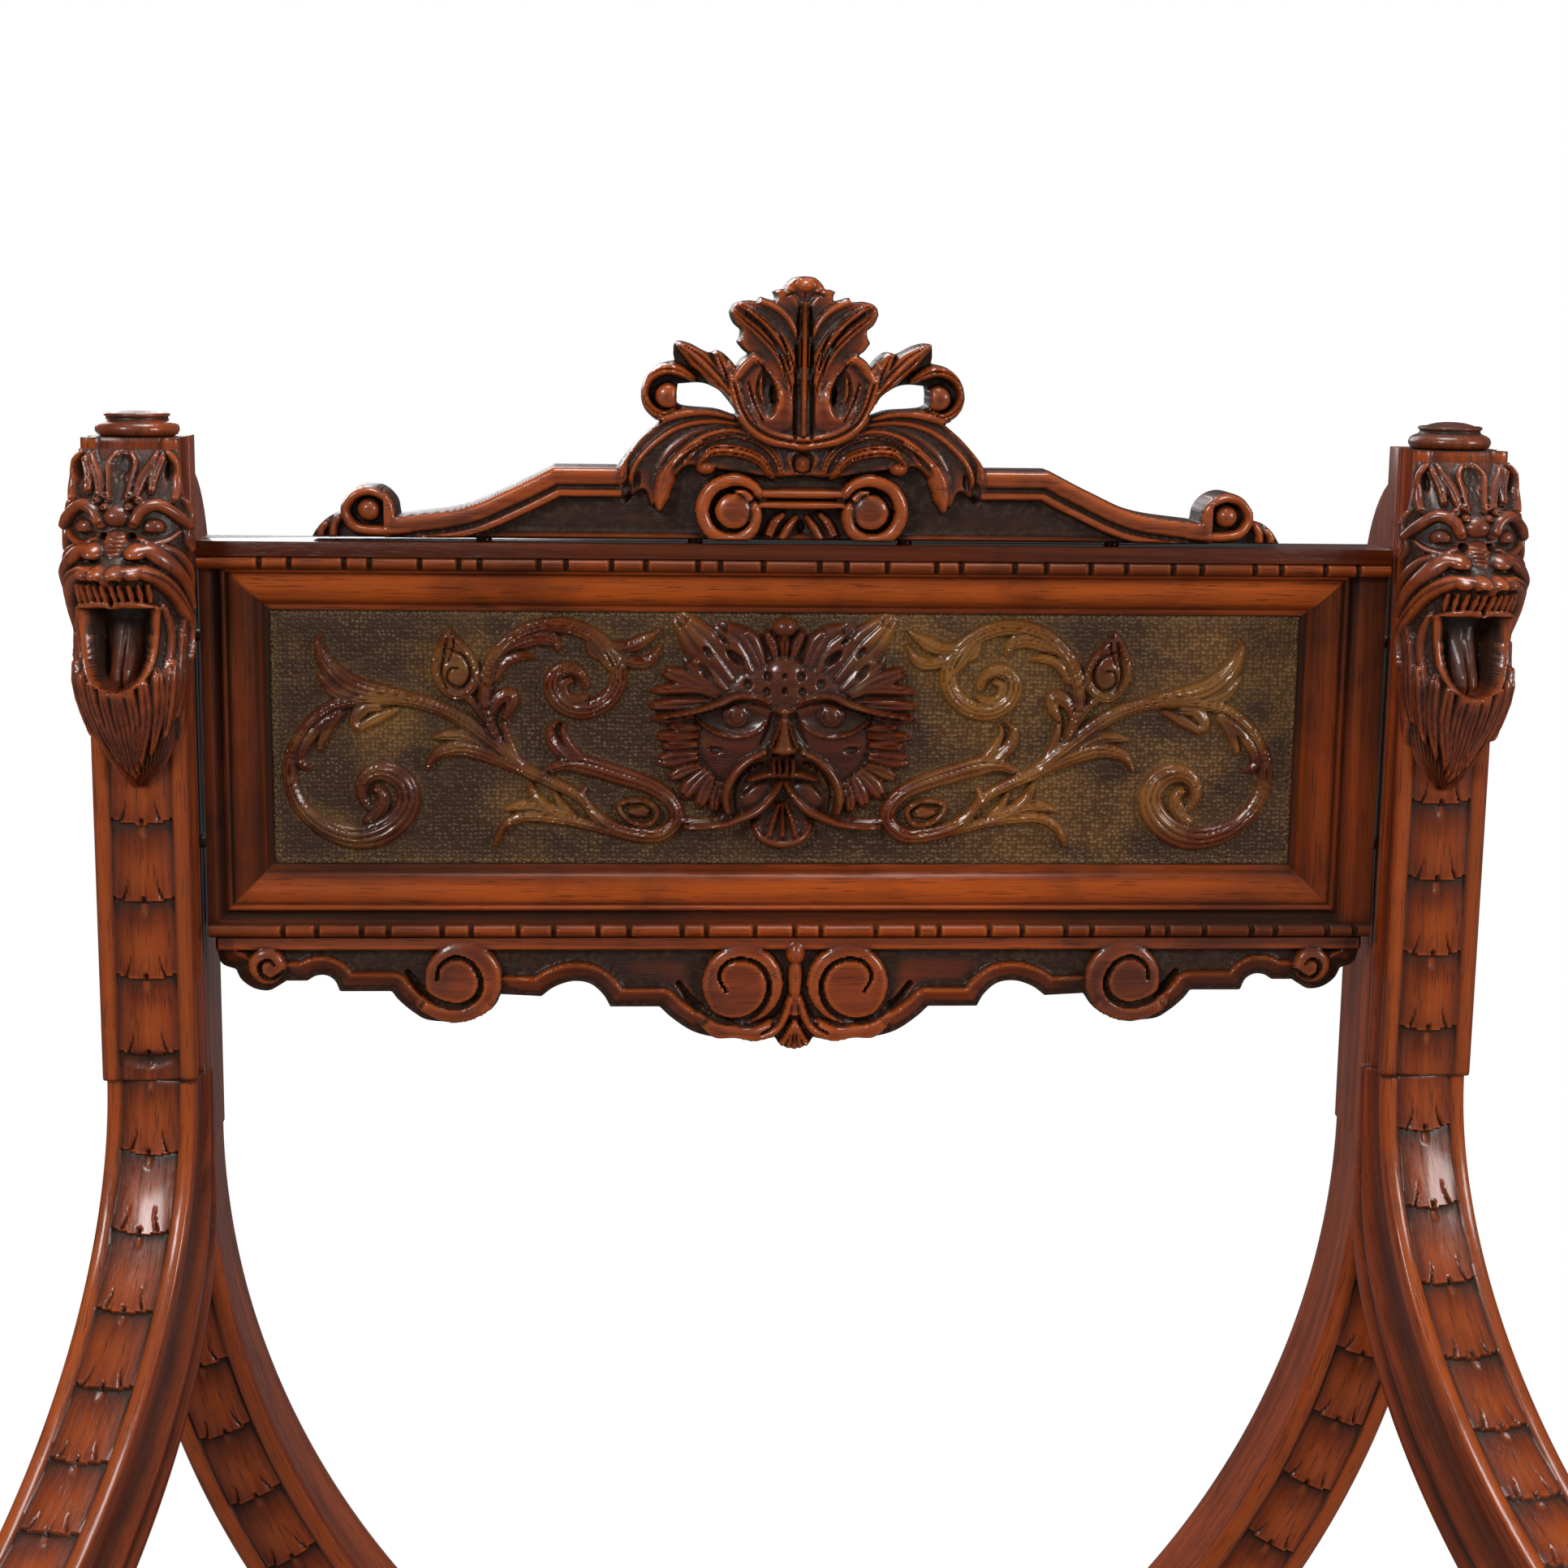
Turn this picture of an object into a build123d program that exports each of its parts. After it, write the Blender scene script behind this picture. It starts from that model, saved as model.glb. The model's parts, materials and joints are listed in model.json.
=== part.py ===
"""Savonarola armchair in carved walnut: two curved X frames, swept arms and a carved back.

Millimetres. +Z is up, the sitter faces -Y and the origin is on the floor below the middle.
"""
import os
from math import atan2, cos, degrees, pi, radians, sin, sqrt, tan

from build123d import *

os.makedirs("parts", exist_ok=True)

# ------------------------------------------------------------------ driving sizes
# overall plan
FRAME_SPACING = 440.0       # front X frame to rear X frame, between their middles
RUNNER_LENGTH = 580.0       # foot runner, front to back
RUNNER_WIDTH = 46.0
RUNNER_HEIGHT = 38.0
RUNNER_ARCH = 14.0          # hollow under the middle of a runner
FOOT_HEIGHT = 14.0
FOOT_LENGTH = 84.0
FOOT_OVERHANG = 4.0         # foot pad proud of the runner's side

# curved X members
MEMBER_DEPTH = 46.0
MEMBER_WIDTH = 44.0         # at the floor end and at seat height
MEMBER_WAIST = 48.0         # at the crossing
POST_WIDTH = 42.0
U_RADIUS = 400.0
U_SPRING = 752.0            # height where the straight post turns into the U
LAP_CLEARANCE = 0.1
LEG_PIN_RADIUS = 9.0

# posts
POST_TOP = 1078.0
BLOCK_DEPTH = 40.0
BLOCK_HEIGHT = 17.0
FACING_THICKNESS = 26.0
JOINT_HEIGHT = 793.0        # where the head facing meets the arm
EAR_HEIGHT = 58.0           # curved shoulder below the block, at the back of the post

# beast head on each post
HEAD_WIDTH = 46.0
HEAD_TOP = 1074.0
HEAD_LENGTH = 145.0
SNOUT_REACH = 36.0
MOUTH_HEIGHT = 34.0
MOUTH_WIDTH = 30.0

# turned finial
FINIAL_RADIUS = 18.0
FINIAL_HEIGHT = 12.0
FINIAL_PEG_RADIUS = 5.0
FINIAL_PEG_LENGTH = 22.0

# arms
ARM_HEIGHT = 596.0          # top of the level stretch
ARM_SPLAY = 12.0            # degrees, outwards
ARM_WIDTH = 42.0
ARM_THICKNESS = 48.0
ARM_SCROLL_RADIUS = 24.0
ARM_SCROLL_REACH = 20.0     # scroll centre in front of the front member's face

# back unit
BACK_WIDTH = 530.0
BACK_TAPER = 1.0            # each side, over the height of the back
BACK_GAP = 3.5              # stile to post
BACK_TOP = 1033.0
BACK_HEIGHT = 178.0
BACK_SETBACK = 18.0         # behind the front of the posts
BACK_THICKNESS = 28.0
STILE_WIDTH = 33.0
RAIL_HEIGHT = 34.5          # outer edge to the panel's sight edge
CAP_HEIGHT = 6.5
CAP_NOSING = 3.0
BEAD_HEIGHT = 6.0
BEAD_PROUD = 4.5
BEAD_PITCH = 22.0
MOULDING_DEPTH = 10.0
PANEL_THICKNESS = 9.0
PANEL_GROOVE = 8.0
TENON_LENGTH = 20.0
TENON_THICKNESS = 8.0
JOINT_CLEARANCE = 0.1
RELIEF_HEIGHT = 7.0
SCROLL_STEM = 8.0
MASK_WIDTH = 118.0
MASK_HEIGHT = 102.0
MASK_RELIEF = 11.0

# crest
CREST_HEIGHT = 115.5
CREST_HALF = 216.0
CREST_THICKNESS = 20.0
CREST_RELIEF = 9.0
CREST_LIFT = 1.5            # shadow gap over the back, bridged by dowels
CREST_SETBACK = 4.0
DOWEL_RADIUS = 3.5
DOWEL_LENGTH = 30.0

# apron
APRON_HALF = 262.0
APRON_DROP = 56.0
APRON_THICKNESS = 20.0
APRON_CHAMFER = 5.0
VOLUTE_RELIEF = 4.0

# pegs that hold the back, in the posts' inner faces
BACK_PIN_RADIUS = 3.0
BACK_PIN_LENGTH = 26.0
BACK_PIN_REACH = 6.0        # into the stile
PIN_SLOT_CLEARANCE = 0.3
BACK_PIN_HEIGHTS = (896.0, 990.0)

# seat
SEAT_HALF = 222.0
SEAT_BOARDS = 4
SEAT_BOARD_THICKNESS = 20.0
SEAT_RAIL_HEIGHT = 38.0
SEAT_RAIL_THICKNESS = 24.0
RAIL_CLEARANCE = 3.6        # seat rails above the stretcher
SEAT_RAIL_INSET = 10.0      # rail end inside the edge of the seat
SEAT_CLEARANCE = 2.0        # seat edge to the X members
BATTEN_WIDTH = 36.0
BATTEN_HEIGHT = 18.0
BATTEN_CLEARANCE = 0.3

# stretcher and rosettes at the crossings
STRETCHER_RADIUS = 15.0
STRETCHER_NECK = 9.0
ROSETTE_RADIUS = 30.0
ROSETTE_THICKNESS = 11.0

# ------------------------------------------------------------------ derived places
rear_y = FRAME_SPACING / 2
front_y = -FRAME_SPACING / 2
half_depth = MEMBER_DEPTH / 2
rear_face_y = rear_y - half_depth
rear_back_y = rear_y + half_depth
post_front_y = rear_face_y - FACING_THICKNESS
post_x = BACK_WIDTH / 2 + BACK_GAP + POST_WIDTH / 2
inner_face_x = post_x - POST_WIDTH / 2

arc_centre_x = post_x - U_RADIUS
crossing_angle = atan2(sqrt(U_RADIUS**2 - arc_centre_x**2), -arc_centre_x)
crossing_z = U_SPRING - U_RADIUS * sin(crossing_angle)
crossing_slope = pi / 2 - crossing_angle
runner_top = FOOT_HEIGHT + RUNNER_HEIGHT
lower_centre_z = 2 * crossing_z - U_SPRING
foot_x = sqrt(U_RADIUS**2 - (runner_top - lower_centre_z) ** 2) + arc_centre_x

splay = radians(ARM_SPLAY)
arm_under = ARM_HEIGHT - ARM_THICKNESS
front_post_run = (post_front_y - front_y) / cos(splay)
front_post_x = post_x + front_post_run * sin(splay)
arm_end_run = front_post_run + half_depth + ARM_SCROLL_REACH

back_front_y = post_front_y + BACK_SETBACK
back_rear_y = back_front_y + BACK_THICKNESS
back_half = BACK_WIDTH / 2
back_bottom = BACK_TOP - BACK_HEIGHT
field_half = back_half - STILE_WIDTH
field_top = BACK_TOP - RAIL_HEIGHT
field_bottom = back_bottom + RAIL_HEIGHT
field_mid = (field_top + field_bottom) / 2
panel_front_y = back_front_y + MOULDING_DEPTH + 2
panel_rear_y = panel_front_y + PANEL_THICKNESS
tenon_y = (panel_front_y + panel_rear_y) / 2
pin_y = back_front_y + BACK_THICKNESS / 2

crest_base = BACK_TOP + CREST_LIFT
crest_front_y = back_front_y + CREST_SETBACK
crest_rear_y = crest_front_y + CREST_THICKNESS

seat_under = crossing_z + STRETCHER_RADIUS + RAIL_CLEARANCE + SEAT_RAIL_HEIGHT
seat_top = seat_under + SEAT_BOARD_THICKNESS
seat_half_depth = rear_face_y - SEAT_CLEARANCE
seat_rail_half = SEAT_HALF - SEAT_RAIL_INSET

SIDES = {"left": -1, "right": 1}


def finish(solid, name):
    """Label one finished piece and write it out."""
    solid.label = name
    export_step(solid, f"parts/{name}.step")
    print(f"{name:22s} {solid.volume / 1000:9.2f} cm3")


def frontal(y):
    """Sketch plane facing the sitter's front, at depth y, with x to the right and z up."""
    return Plane.XZ.offset(-y)


# ------------------------------------------------------------------ curved X members
def rear_centre(t):
    """Middle line of a rear member: t 0 at the spring line, 1 at the crossing, 2 at its end."""
    if t > 1:
        x, z = rear_centre(2 - t)
        return -x, 2 * crossing_z - z
    angle = crossing_angle * t
    return arc_centre_x + U_RADIUS * cos(angle), U_SPRING - U_RADIUS * sin(angle)


def front_centre(t):
    """Middle line of a front member: wider above the crossing, like the rear one below it."""
    if t > 1:
        return rear_centre(t)
    handle = 0.45 * front_post_x
    drop = 0.5 * (arm_under - crossing_z)
    points = (
        (front_post_x, arm_under),
        (front_post_x, arm_under - drop),
        (handle, crossing_z + handle * tan(crossing_slope)),
        (0.0, crossing_z),
    )
    weights = ((1 - t) ** 3, 3 * t * (1 - t) ** 2, 3 * t**2 * (1 - t), t**3)
    return tuple(sum(w * p[axis] for w, p in zip(weights, points)) for axis in (0, 1))


def member_half_width(t, top_width):
    """Half the width of a member along its middle line."""
    widths = (top_width, MEMBER_WIDTH, MEMBER_WAIST, MEMBER_WIDTH, MEMBER_WIDTH)
    place = min(t * 2, len(widths) - 1.001)
    step = int(place)
    ease = (1 - cos(pi * (place - step))) / 2
    return (widths[step] + (widths[step + 1] - widths[step]) * ease) / 2


def member_edge(centre, top_width, side, hand):
    """Points along one edge of a member; side mirrors the member, hand picks the edge."""
    points = []
    for step in range(17):
        t = step / 8
        x, z = centre(t)
        ahead, behind = centre(min(t + 0.01, 2)), centre(max(t - 0.01, 0))
        dx, dz = ahead[0] - behind[0], ahead[1] - behind[1]
        if step == 0:
            dx = 0.0
        size = sqrt(dx * dx + dz * dz)
        half = member_half_width(t, top_width) * hand
        points.append((side * (x - dz / size * half), z + dx / size * half))
    return points


def member_blank(centre, top_width, top, side, front, rear):
    """Curved member cut from a plank between two depths, sawn off on the runner."""
    outer = member_edge(centre, top_width, side, -1)
    inner = member_edge(centre, top_width, side, 1)
    with BuildPart() as blank:
        with BuildSketch(frontal(rear)):
            with BuildLine():
                start = [(outer[0][0], top), outer[0]] if top > outer[0][1] else [outer[0]]
                close = [inner[0], (inner[0][0], top)] if top > inner[0][1] else [inner[0]]
                if len(start) > 1:
                    Line(start[0], start[1])
                    Line(close[0], close[1])
                Spline(outer)
                Spline(inner)
                Line(start[0], close[-1])
                Line(outer[-1], inner[-1])
            make_face()
        extrude(amount=rear - front)
        split(bisect_by=Plane.XY.offset(runner_top), keep=Keep.TOP)
    return blank.part


def lapped_member(centre, top_width, top, side, y):
    """One member of an X frame, halved into its partner where they cross."""
    front, rear = y - half_depth, y + half_depth
    if side < 0:
        notch_front, notch_rear = front - 1, y + LAP_CLEARANCE / 2
    else:
        notch_front, notch_rear = y - LAP_CLEARANCE / 2, rear + 1
    partner = member_blank(centre, top_width, top, -side, notch_front, notch_rear)
    with BuildPart() as member:
        add(member_blank(centre, top_width, top, side, front, rear))
        add(partner, mode=Mode.SUBTRACT)
        with BuildSketch(frontal(rear)):
            with Locations((0, crossing_z)):
                Circle(LEG_PIN_RADIUS + JOINT_CLEARANCE)
        extrude(amount=MEMBER_DEPTH, mode=Mode.SUBTRACT)
    return member.part


def back_pin_points():
    """Heights of the pegs that carry the back."""
    return [(pin_y, z) for z in BACK_PIN_HEIGHTS]


for name, side in SIDES.items():
    with BuildPart() as rear_member:
        add(lapped_member(rear_centre, POST_WIDTH, POST_TOP, side, rear_y))
        # the block at the top is shallower, with a rounded shoulder under it
        block_rear_y = post_front_y + BLOCK_DEPTH
        shoulder_z = POST_TOP - BLOCK_HEIGHT
        with BuildSketch(Plane.YZ.offset(side * post_x)):
            with BuildLine():
                Polyline(
                    (rear_back_y, shoulder_z - EAR_HEIGHT),
                    (rear_back_y + 1, shoulder_z - EAR_HEIGHT),
                    (rear_back_y + 1, POST_TOP + 1),
                    (block_rear_y, POST_TOP + 1),
                    (block_rear_y, shoulder_z),
                )
                ThreePointArc(
                    (block_rear_y, shoulder_z),
                    (
                        block_rear_y + 0.74 * (rear_back_y - block_rear_y),
                        shoulder_z - 0.36 * EAR_HEIGHT,
                    ),
                    (rear_back_y, shoulder_z - EAR_HEIGHT),
                )
            make_face()
        extrude(amount=POST_WIDTH, both=True, mode=Mode.SUBTRACT)
        # holes for the pegs of the back and for the finial
        with BuildSketch(Plane.YZ.offset(side * inner_face_x)):
            with Locations(*back_pin_points()):
                Circle(BACK_PIN_RADIUS)
        extrude(
            amount=side * (BACK_PIN_LENGTH - BACK_GAP - BACK_PIN_REACH), mode=Mode.SUBTRACT
        )
        with Locations((side * post_x, post_front_y + BLOCK_DEPTH / 2, POST_TOP)):
            Hole(FINIAL_PEG_RADIUS, depth=FINIAL_PEG_LENGTH)
    finish(rear_member.part, f"{name}_rear_member")

for name, side in SIDES.items():
    with BuildPart() as front_member:
        add(lapped_member(front_centre, MEMBER_WIDTH, arm_under, side, front_y))
    finish(front_member.part, f"{name}_front_member")


# ------------------------------------------------------------------ heads, finials, arms
def head_profile():
    """Side profile of a beast head as (reach in front of the post, height)."""
    top, length, reach = HEAD_TOP, HEAD_LENGTH, SNOUT_REACH
    shares = (
        (0.10, 0.00), (0.30, 0.08), (0.50, 0.17), (0.58, 0.28), (0.62, 0.33),
        (0.95, 0.37), (1.00, 0.43), (0.92, 0.50), (0.80, 0.56), (0.84, 0.66),
        (0.76, 0.74), (0.55, 0.82), (0.34, 0.92), (0.12, 1.00),
    )
    return [(across * reach, top - down * length) for across, down in shares]


for name, side in SIDES.items():
    mouth_z = HEAD_TOP - 0.60 * HEAD_LENGTH
    with BuildPart() as head_post:
        with BuildSketch(Plane.XY.offset(JOINT_HEIGHT)):
            with Locations((side * post_x, post_front_y + FACING_THICKNESS / 2)):
                Rectangle(POST_WIDTH, FACING_THICKNESS)
        extrude(amount=POST_TOP - JOINT_HEIGHT)
        # head, cut to its side profile and then to its width at each height
        with BuildPart(mode=Mode.PRIVATE) as head:
            profile = [(post_front_y - reach, z) for reach, z in head_profile()]
            root_y = post_front_y + 2
            with BuildSketch(Plane.YZ.offset(side * post_x)):
                with BuildLine():
                    Spline(profile)
                    Polyline(
                        profile[-1],
                        (root_y, profile[-1][1]),
                        (root_y, profile[0][1]),
                        profile[0],
                    )
                make_face()
            extrude(amount=HEAD_WIDTH, both=True)
            with BuildSketch(frontal(post_front_y + FACING_THICKNESS)):
                with Locations((side * post_x, HEAD_TOP - 0.46 * HEAD_LENGTH)):
                    Ellipse(HEAD_WIDTH / 2, 0.62 * HEAD_LENGTH)
            extrude(amount=FACING_THICKNESS + SNOUT_REACH + 1, mode=Mode.INTERSECT)
        add(head.part)
        with BuildSketch(frontal(post_front_y - 0.35 * SNOUT_REACH)):
            with Locations((side * post_x, mouth_z)):
                Ellipse(MOUTH_WIDTH / 2, MOUTH_HEIGHT / 2)
        extrude(amount=SNOUT_REACH, mode=Mode.SUBTRACT)
        with Locations((side * post_x, post_front_y + BLOCK_DEPTH / 2, POST_TOP)):
            Hole(FINIAL_PEG_RADIUS, depth=FINIAL_PEG_LENGTH)
    finish(head_post.part, f"{name}_head_post")

for name, side in SIDES.items():
    with BuildPart() as finial:
        axis_place = Plane(
            origin=(side * post_x, post_front_y + BLOCK_DEPTH / 2, POST_TOP),
            x_dir=(1, 0, 0),
            z_dir=(0, -1, 0),
        )
        bead = 0.5 * FINIAL_HEIGHT
        rim = 0.76 * FINIAL_RADIUS
        with BuildSketch(axis_place):
            with BuildLine():
                Polyline(
                    (0, -FINIAL_PEG_LENGTH + 1),
                    (FINIAL_PEG_RADIUS, -FINIAL_PEG_LENGTH + 1),
                    (FINIAL_PEG_RADIUS, 0),
                    (FINIAL_RADIUS - bead / 2, 0),
                )
                ThreePointArc(
                    (FINIAL_RADIUS - bead / 2, 0),
                    (FINIAL_RADIUS, bead / 2),
                    (FINIAL_RADIUS - bead / 2, bead),
                )
                Polyline(
                    (FINIAL_RADIUS - bead / 2, bead),
                    (rim, 0.62 * FINIAL_HEIGHT),
                    (rim, 0.82 * FINIAL_HEIGHT),
                    (0.8 * rim, 0.86 * FINIAL_HEIGHT),
                )
                Spline(
                    (0.8 * rim, 0.86 * FINIAL_HEIGHT),
                    (0.45 * rim, 0.965 * FINIAL_HEIGHT),
                    (0, FINIAL_HEIGHT),
                    tangents=((-1, 0.35), (-1, 0)),
                )
                Line((0, FINIAL_HEIGHT), (0, -FINIAL_PEG_LENGTH + 1))
            make_face()
        revolve(axis=Axis(axis_place.origin, (0, 0, 1)))
    finish(finial.part, f"{name}_finial")

for name, side in SIDES.items():
    forward = Vector(side * sin(splay), -cos(splay), 0)
    arm_plane = Plane(
        origin=(side * post_x, post_front_y, 0),
        x_dir=forward,
        z_dir=forward.cross(Vector(0, 0, 1)),
    )
    bend = JOINT_HEIGHT - ARM_HEIGHT
    leave = 0.30 * bend          # the arm stays on the member for this much below the joint
    back_run = -FACING_THICKNESS - 4
    level_run = 1.35 * bend
    scroll_z = ARM_HEIGHT - ARM_SCROLL_RADIUS
    flat_run = front_post_run - half_depth - 10
    with BuildPart() as arm:
        with BuildSketch(arm_plane):
            with BuildLine():
                Line((back_run, JOINT_HEIGHT), (0, JOINT_HEIGHT))
                Bezier(
                    (0, JOINT_HEIGHT),
                    (0, JOINT_HEIGHT - 0.40 * bend),
                    (0.42 * bend, ARM_HEIGHT + 0.10 * bend),
                    (level_run, ARM_HEIGHT),
                )
                Line((level_run, ARM_HEIGHT), (arm_end_run, ARM_HEIGHT))
                ThreePointArc(
                    (arm_end_run, ARM_HEIGHT),
                    (arm_end_run + ARM_SCROLL_RADIUS, scroll_z),
                    (arm_end_run, scroll_z - ARM_SCROLL_RADIUS),
                )
                Polyline(
                    (arm_end_run, scroll_z - ARM_SCROLL_RADIUS),
                    (front_post_run + half_depth + 6, arm_under),
                    (flat_run, arm_under),
                    (level_run, arm_under),
                )
                Bezier(
                    (level_run, arm_under),
                    (0.36 * bend, arm_under + 0.12 * bend),
                    (back_run, JOINT_HEIGHT - leave - 0.45 * bend),
                    (back_run, JOINT_HEIGHT - leave),
                )
                Line((back_run, JOINT_HEIGHT - leave), (back_run, JOINT_HEIGHT))
            make_face()
        extrude(amount=ARM_WIDTH / 2, both=True)
        split(bisect_by=frontal(rear_face_y), keep=Keep.TOP)
    finish(arm.part, f"{name}_arm")

# ------------------------------------------------------------------ runners, feet, stretcher
for name, side in SIDES.items():
    half_run = RUNNER_LENGTH / 2
    nose = 0.62 * RUNNER_HEIGHT
    arch_half = half_run - 1.15 * FOOT_LENGTH
    with BuildPart() as runner:
        with BuildSketch(Plane.YZ.offset(side * foot_x)):
            with BuildLine():
                Polyline(
                    (-half_run, FOOT_HEIGHT),
                    (-half_run, FOOT_HEIGHT + RUNNER_HEIGHT - nose),
                )
                ThreePointArc(
                    (-half_run, FOOT_HEIGHT + RUNNER_HEIGHT - nose),
                    (-half_run + 0.29 * nose, runner_top - 0.29 * nose),
                    (-half_run + nose, runner_top),
                )
                Line((-half_run + nose, runner_top), (half_run - nose, runner_top))
                ThreePointArc(
                    (half_run - nose, runner_top),
                    (half_run - 0.29 * nose, runner_top - 0.29 * nose),
                    (half_run, FOOT_HEIGHT + RUNNER_HEIGHT - nose),
                )
                Polyline(
                    (half_run, FOOT_HEIGHT + RUNNER_HEIGHT - nose),
                    (half_run, FOOT_HEIGHT),
                    (arch_half, FOOT_HEIGHT),
                )
                ThreePointArc(
                    (arch_half, FOOT_HEIGHT), (0, FOOT_HEIGHT + RUNNER_ARCH), (-arch_half, FOOT_HEIGHT)
                )
                Line((-arch_half, FOOT_HEIGHT), (-half_run, FOOT_HEIGHT))
            make_face()
        extrude(amount=RUNNER_WIDTH / 2, both=True)
    finish(runner.part, f"{name}_runner")

for end, sign in {"front": -1, "rear": 1}.items():
    for name, side in SIDES.items():
        foot_y = sign * (RUNNER_LENGTH / 2 - FOOT_LENGTH / 2)
        with BuildPart() as foot:
            with BuildSketch():
                with Locations((side * foot_x, foot_y)):
                    RectangleRounded(RUNNER_WIDTH + 2 * FOOT_OVERHANG, FOOT_LENGTH, 10)
            extrude(amount=FOOT_HEIGHT)
            upper = foot.edges().group_by(Axis.Z)[-1]
            fillet(upper, min(FOOT_OVERHANG, FOOT_HEIGHT / 3))
        finish(foot.part, f"{end}_{name}_foot")

with BuildPart() as stretcher:
    half_length = FRAME_SPACING / 2 + half_depth
    body_half = FRAME_SPACING / 2 - half_depth
    with BuildSketch(Plane.YZ):
        with BuildLine():
            Polyline(
                (-half_length, crossing_z),
                (-half_length, crossing_z + LEG_PIN_RADIUS),
                (-body_half, crossing_z + LEG_PIN_RADIUS),
                (-body_half, crossing_z + STRETCHER_RADIUS),
                (-body_half + 16, crossing_z + STRETCHER_RADIUS),
                (-body_half + 26, crossing_z + STRETCHER_NECK),
            )
            ThreePointArc(
                (-body_half + 26, crossing_z + STRETCHER_NECK),
                (-body_half / 2 - 13, crossing_z + STRETCHER_RADIUS),
                (-26, crossing_z + STRETCHER_NECK),
            )
            Polyline(
                (-26, crossing_z + STRETCHER_NECK),
                (-14, crossing_z + STRETCHER_RADIUS),
                (14, crossing_z + STRETCHER_RADIUS),
                (26, crossing_z + STRETCHER_NECK),
            )
            ThreePointArc(
                (26, crossing_z + STRETCHER_NECK),
                (body_half / 2 + 13, crossing_z + STRETCHER_RADIUS),
                (body_half - 26, crossing_z + STRETCHER_NECK),
            )
            Polyline(
                (body_half - 26, crossing_z + STRETCHER_NECK),
                (body_half - 16, crossing_z + STRETCHER_RADIUS),
                (body_half, crossing_z + STRETCHER_RADIUS),
                (body_half, crossing_z + LEG_PIN_RADIUS),
                (half_length, crossing_z + LEG_PIN_RADIUS),
                (half_length, crossing_z),
                (-half_length, crossing_z),
            )
        make_face()
    revolve(axis=Axis((0, 0, crossing_z), (0, 1, 0)))
finish(stretcher.part, "stretcher")

for end, sign in {"front": -1, "rear": 1}.items():
    with BuildPart() as rosette:
        face_y = sign * (FRAME_SPACING / 2 + half_depth)
        with BuildSketch(Plane.YZ):
            with BuildLine():
                Polyline(
                    (face_y, crossing_z),
                    (face_y, crossing_z + ROSETTE_RADIUS),
                    (face_y + sign * 0.35 * ROSETTE_THICKNESS, crossing_z + ROSETTE_RADIUS),
                )
                ThreePointArc(
                    (face_y + sign * 0.35 * ROSETTE_THICKNESS, crossing_z + ROSETTE_RADIUS),
                    (face_y + sign * 0.72 * ROSETTE_THICKNESS, crossing_z + 0.72 * ROSETTE_RADIUS),
                    (face_y + sign * 0.5 * ROSETTE_THICKNESS, crossing_z + 0.42 * ROSETTE_RADIUS),
                )
                Spline(
                    (face_y + sign * 0.5 * ROSETTE_THICKNESS, crossing_z + 0.42 * ROSETTE_RADIUS),
                    (face_y + sign * 0.86 * ROSETTE_THICKNESS, crossing_z + 0.28 * ROSETTE_RADIUS),
                    (face_y + sign * ROSETTE_THICKNESS, crossing_z),
                    tangents=((sign, -0.2), (0, -1)),
                )
                Line((face_y + sign * ROSETTE_THICKNESS, crossing_z), (face_y, crossing_z))
            make_face()
        revolve(axis=Axis((0, 0, crossing_z), (0, 1, 0)))
    finish(rosette.part, f"{end}_rosette")

# ------------------------------------------------------------------ seat
rail_mid_z = seat_under - SEAT_RAIL_HEIGHT / 2
for end, sign in {"front": -1, "rear": 1}.items():
    with BuildPart() as cross_rail:
        with Locations((0, sign * (rear_face_y - SEAT_RAIL_THICKNESS / 2), rail_mid_z)):
            Box(2 * seat_rail_half, SEAT_RAIL_THICKNESS, SEAT_RAIL_HEIGHT)
    finish(cross_rail.part, f"seat_{end}_rail")

side_rail_half = rear_face_y - SEAT_RAIL_THICKNESS
for name, side in SIDES.items():
    with BuildPart() as side_rail:
        with Locations((side * (seat_rail_half - SEAT_RAIL_THICKNESS / 2), 0, rail_mid_z)):
            Box(SEAT_RAIL_THICKNESS, 2 * side_rail_half, SEAT_RAIL_HEIGHT)
    finish(side_rail.part, f"seat_{name}_rail")

board_width = 2 * SEAT_HALF / SEAT_BOARDS
for index in range(SEAT_BOARDS):
    with BuildPart() as seat_board:
        board_x = -SEAT_HALF + board_width * (index + 0.5)
        with Locations((board_x, 0, seat_top - SEAT_BOARD_THICKNESS / 2)):
            Box(board_width, 2 * seat_half_depth, SEAT_BOARD_THICKNESS)
        nosing = seat_board.edges().filter_by(Axis.X).group_by(Axis.Z)[-1]
        fillet(nosing, 0.35 * SEAT_BOARD_THICKNESS)
    finish(seat_board.part, f"seat_board_{index + 1}")

batten_half = seat_rail_half - SEAT_RAIL_THICKNESS - BATTEN_CLEARANCE
for end, sign in {"front": -1, "rear": 1}.items():
    batten_y = sign * (side_rail_half - BATTEN_CLEARANCE - BATTEN_WIDTH / 2)
    with BuildPart() as batten:
        with Locations((0, batten_y, seat_under - BATTEN_HEIGHT / 2)):
            Box(2 * batten_half, BATTEN_WIDTH, BATTEN_HEIGHT)
    finish(batten.part, f"seat_{end}_batten")

# ------------------------------------------------------------------ back: frame and panel
rail_body_top = BACK_TOP - CAP_HEIGHT
moulding_width = RAIL_HEIGHT - CAP_HEIGHT - BEAD_HEIGHT


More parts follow.
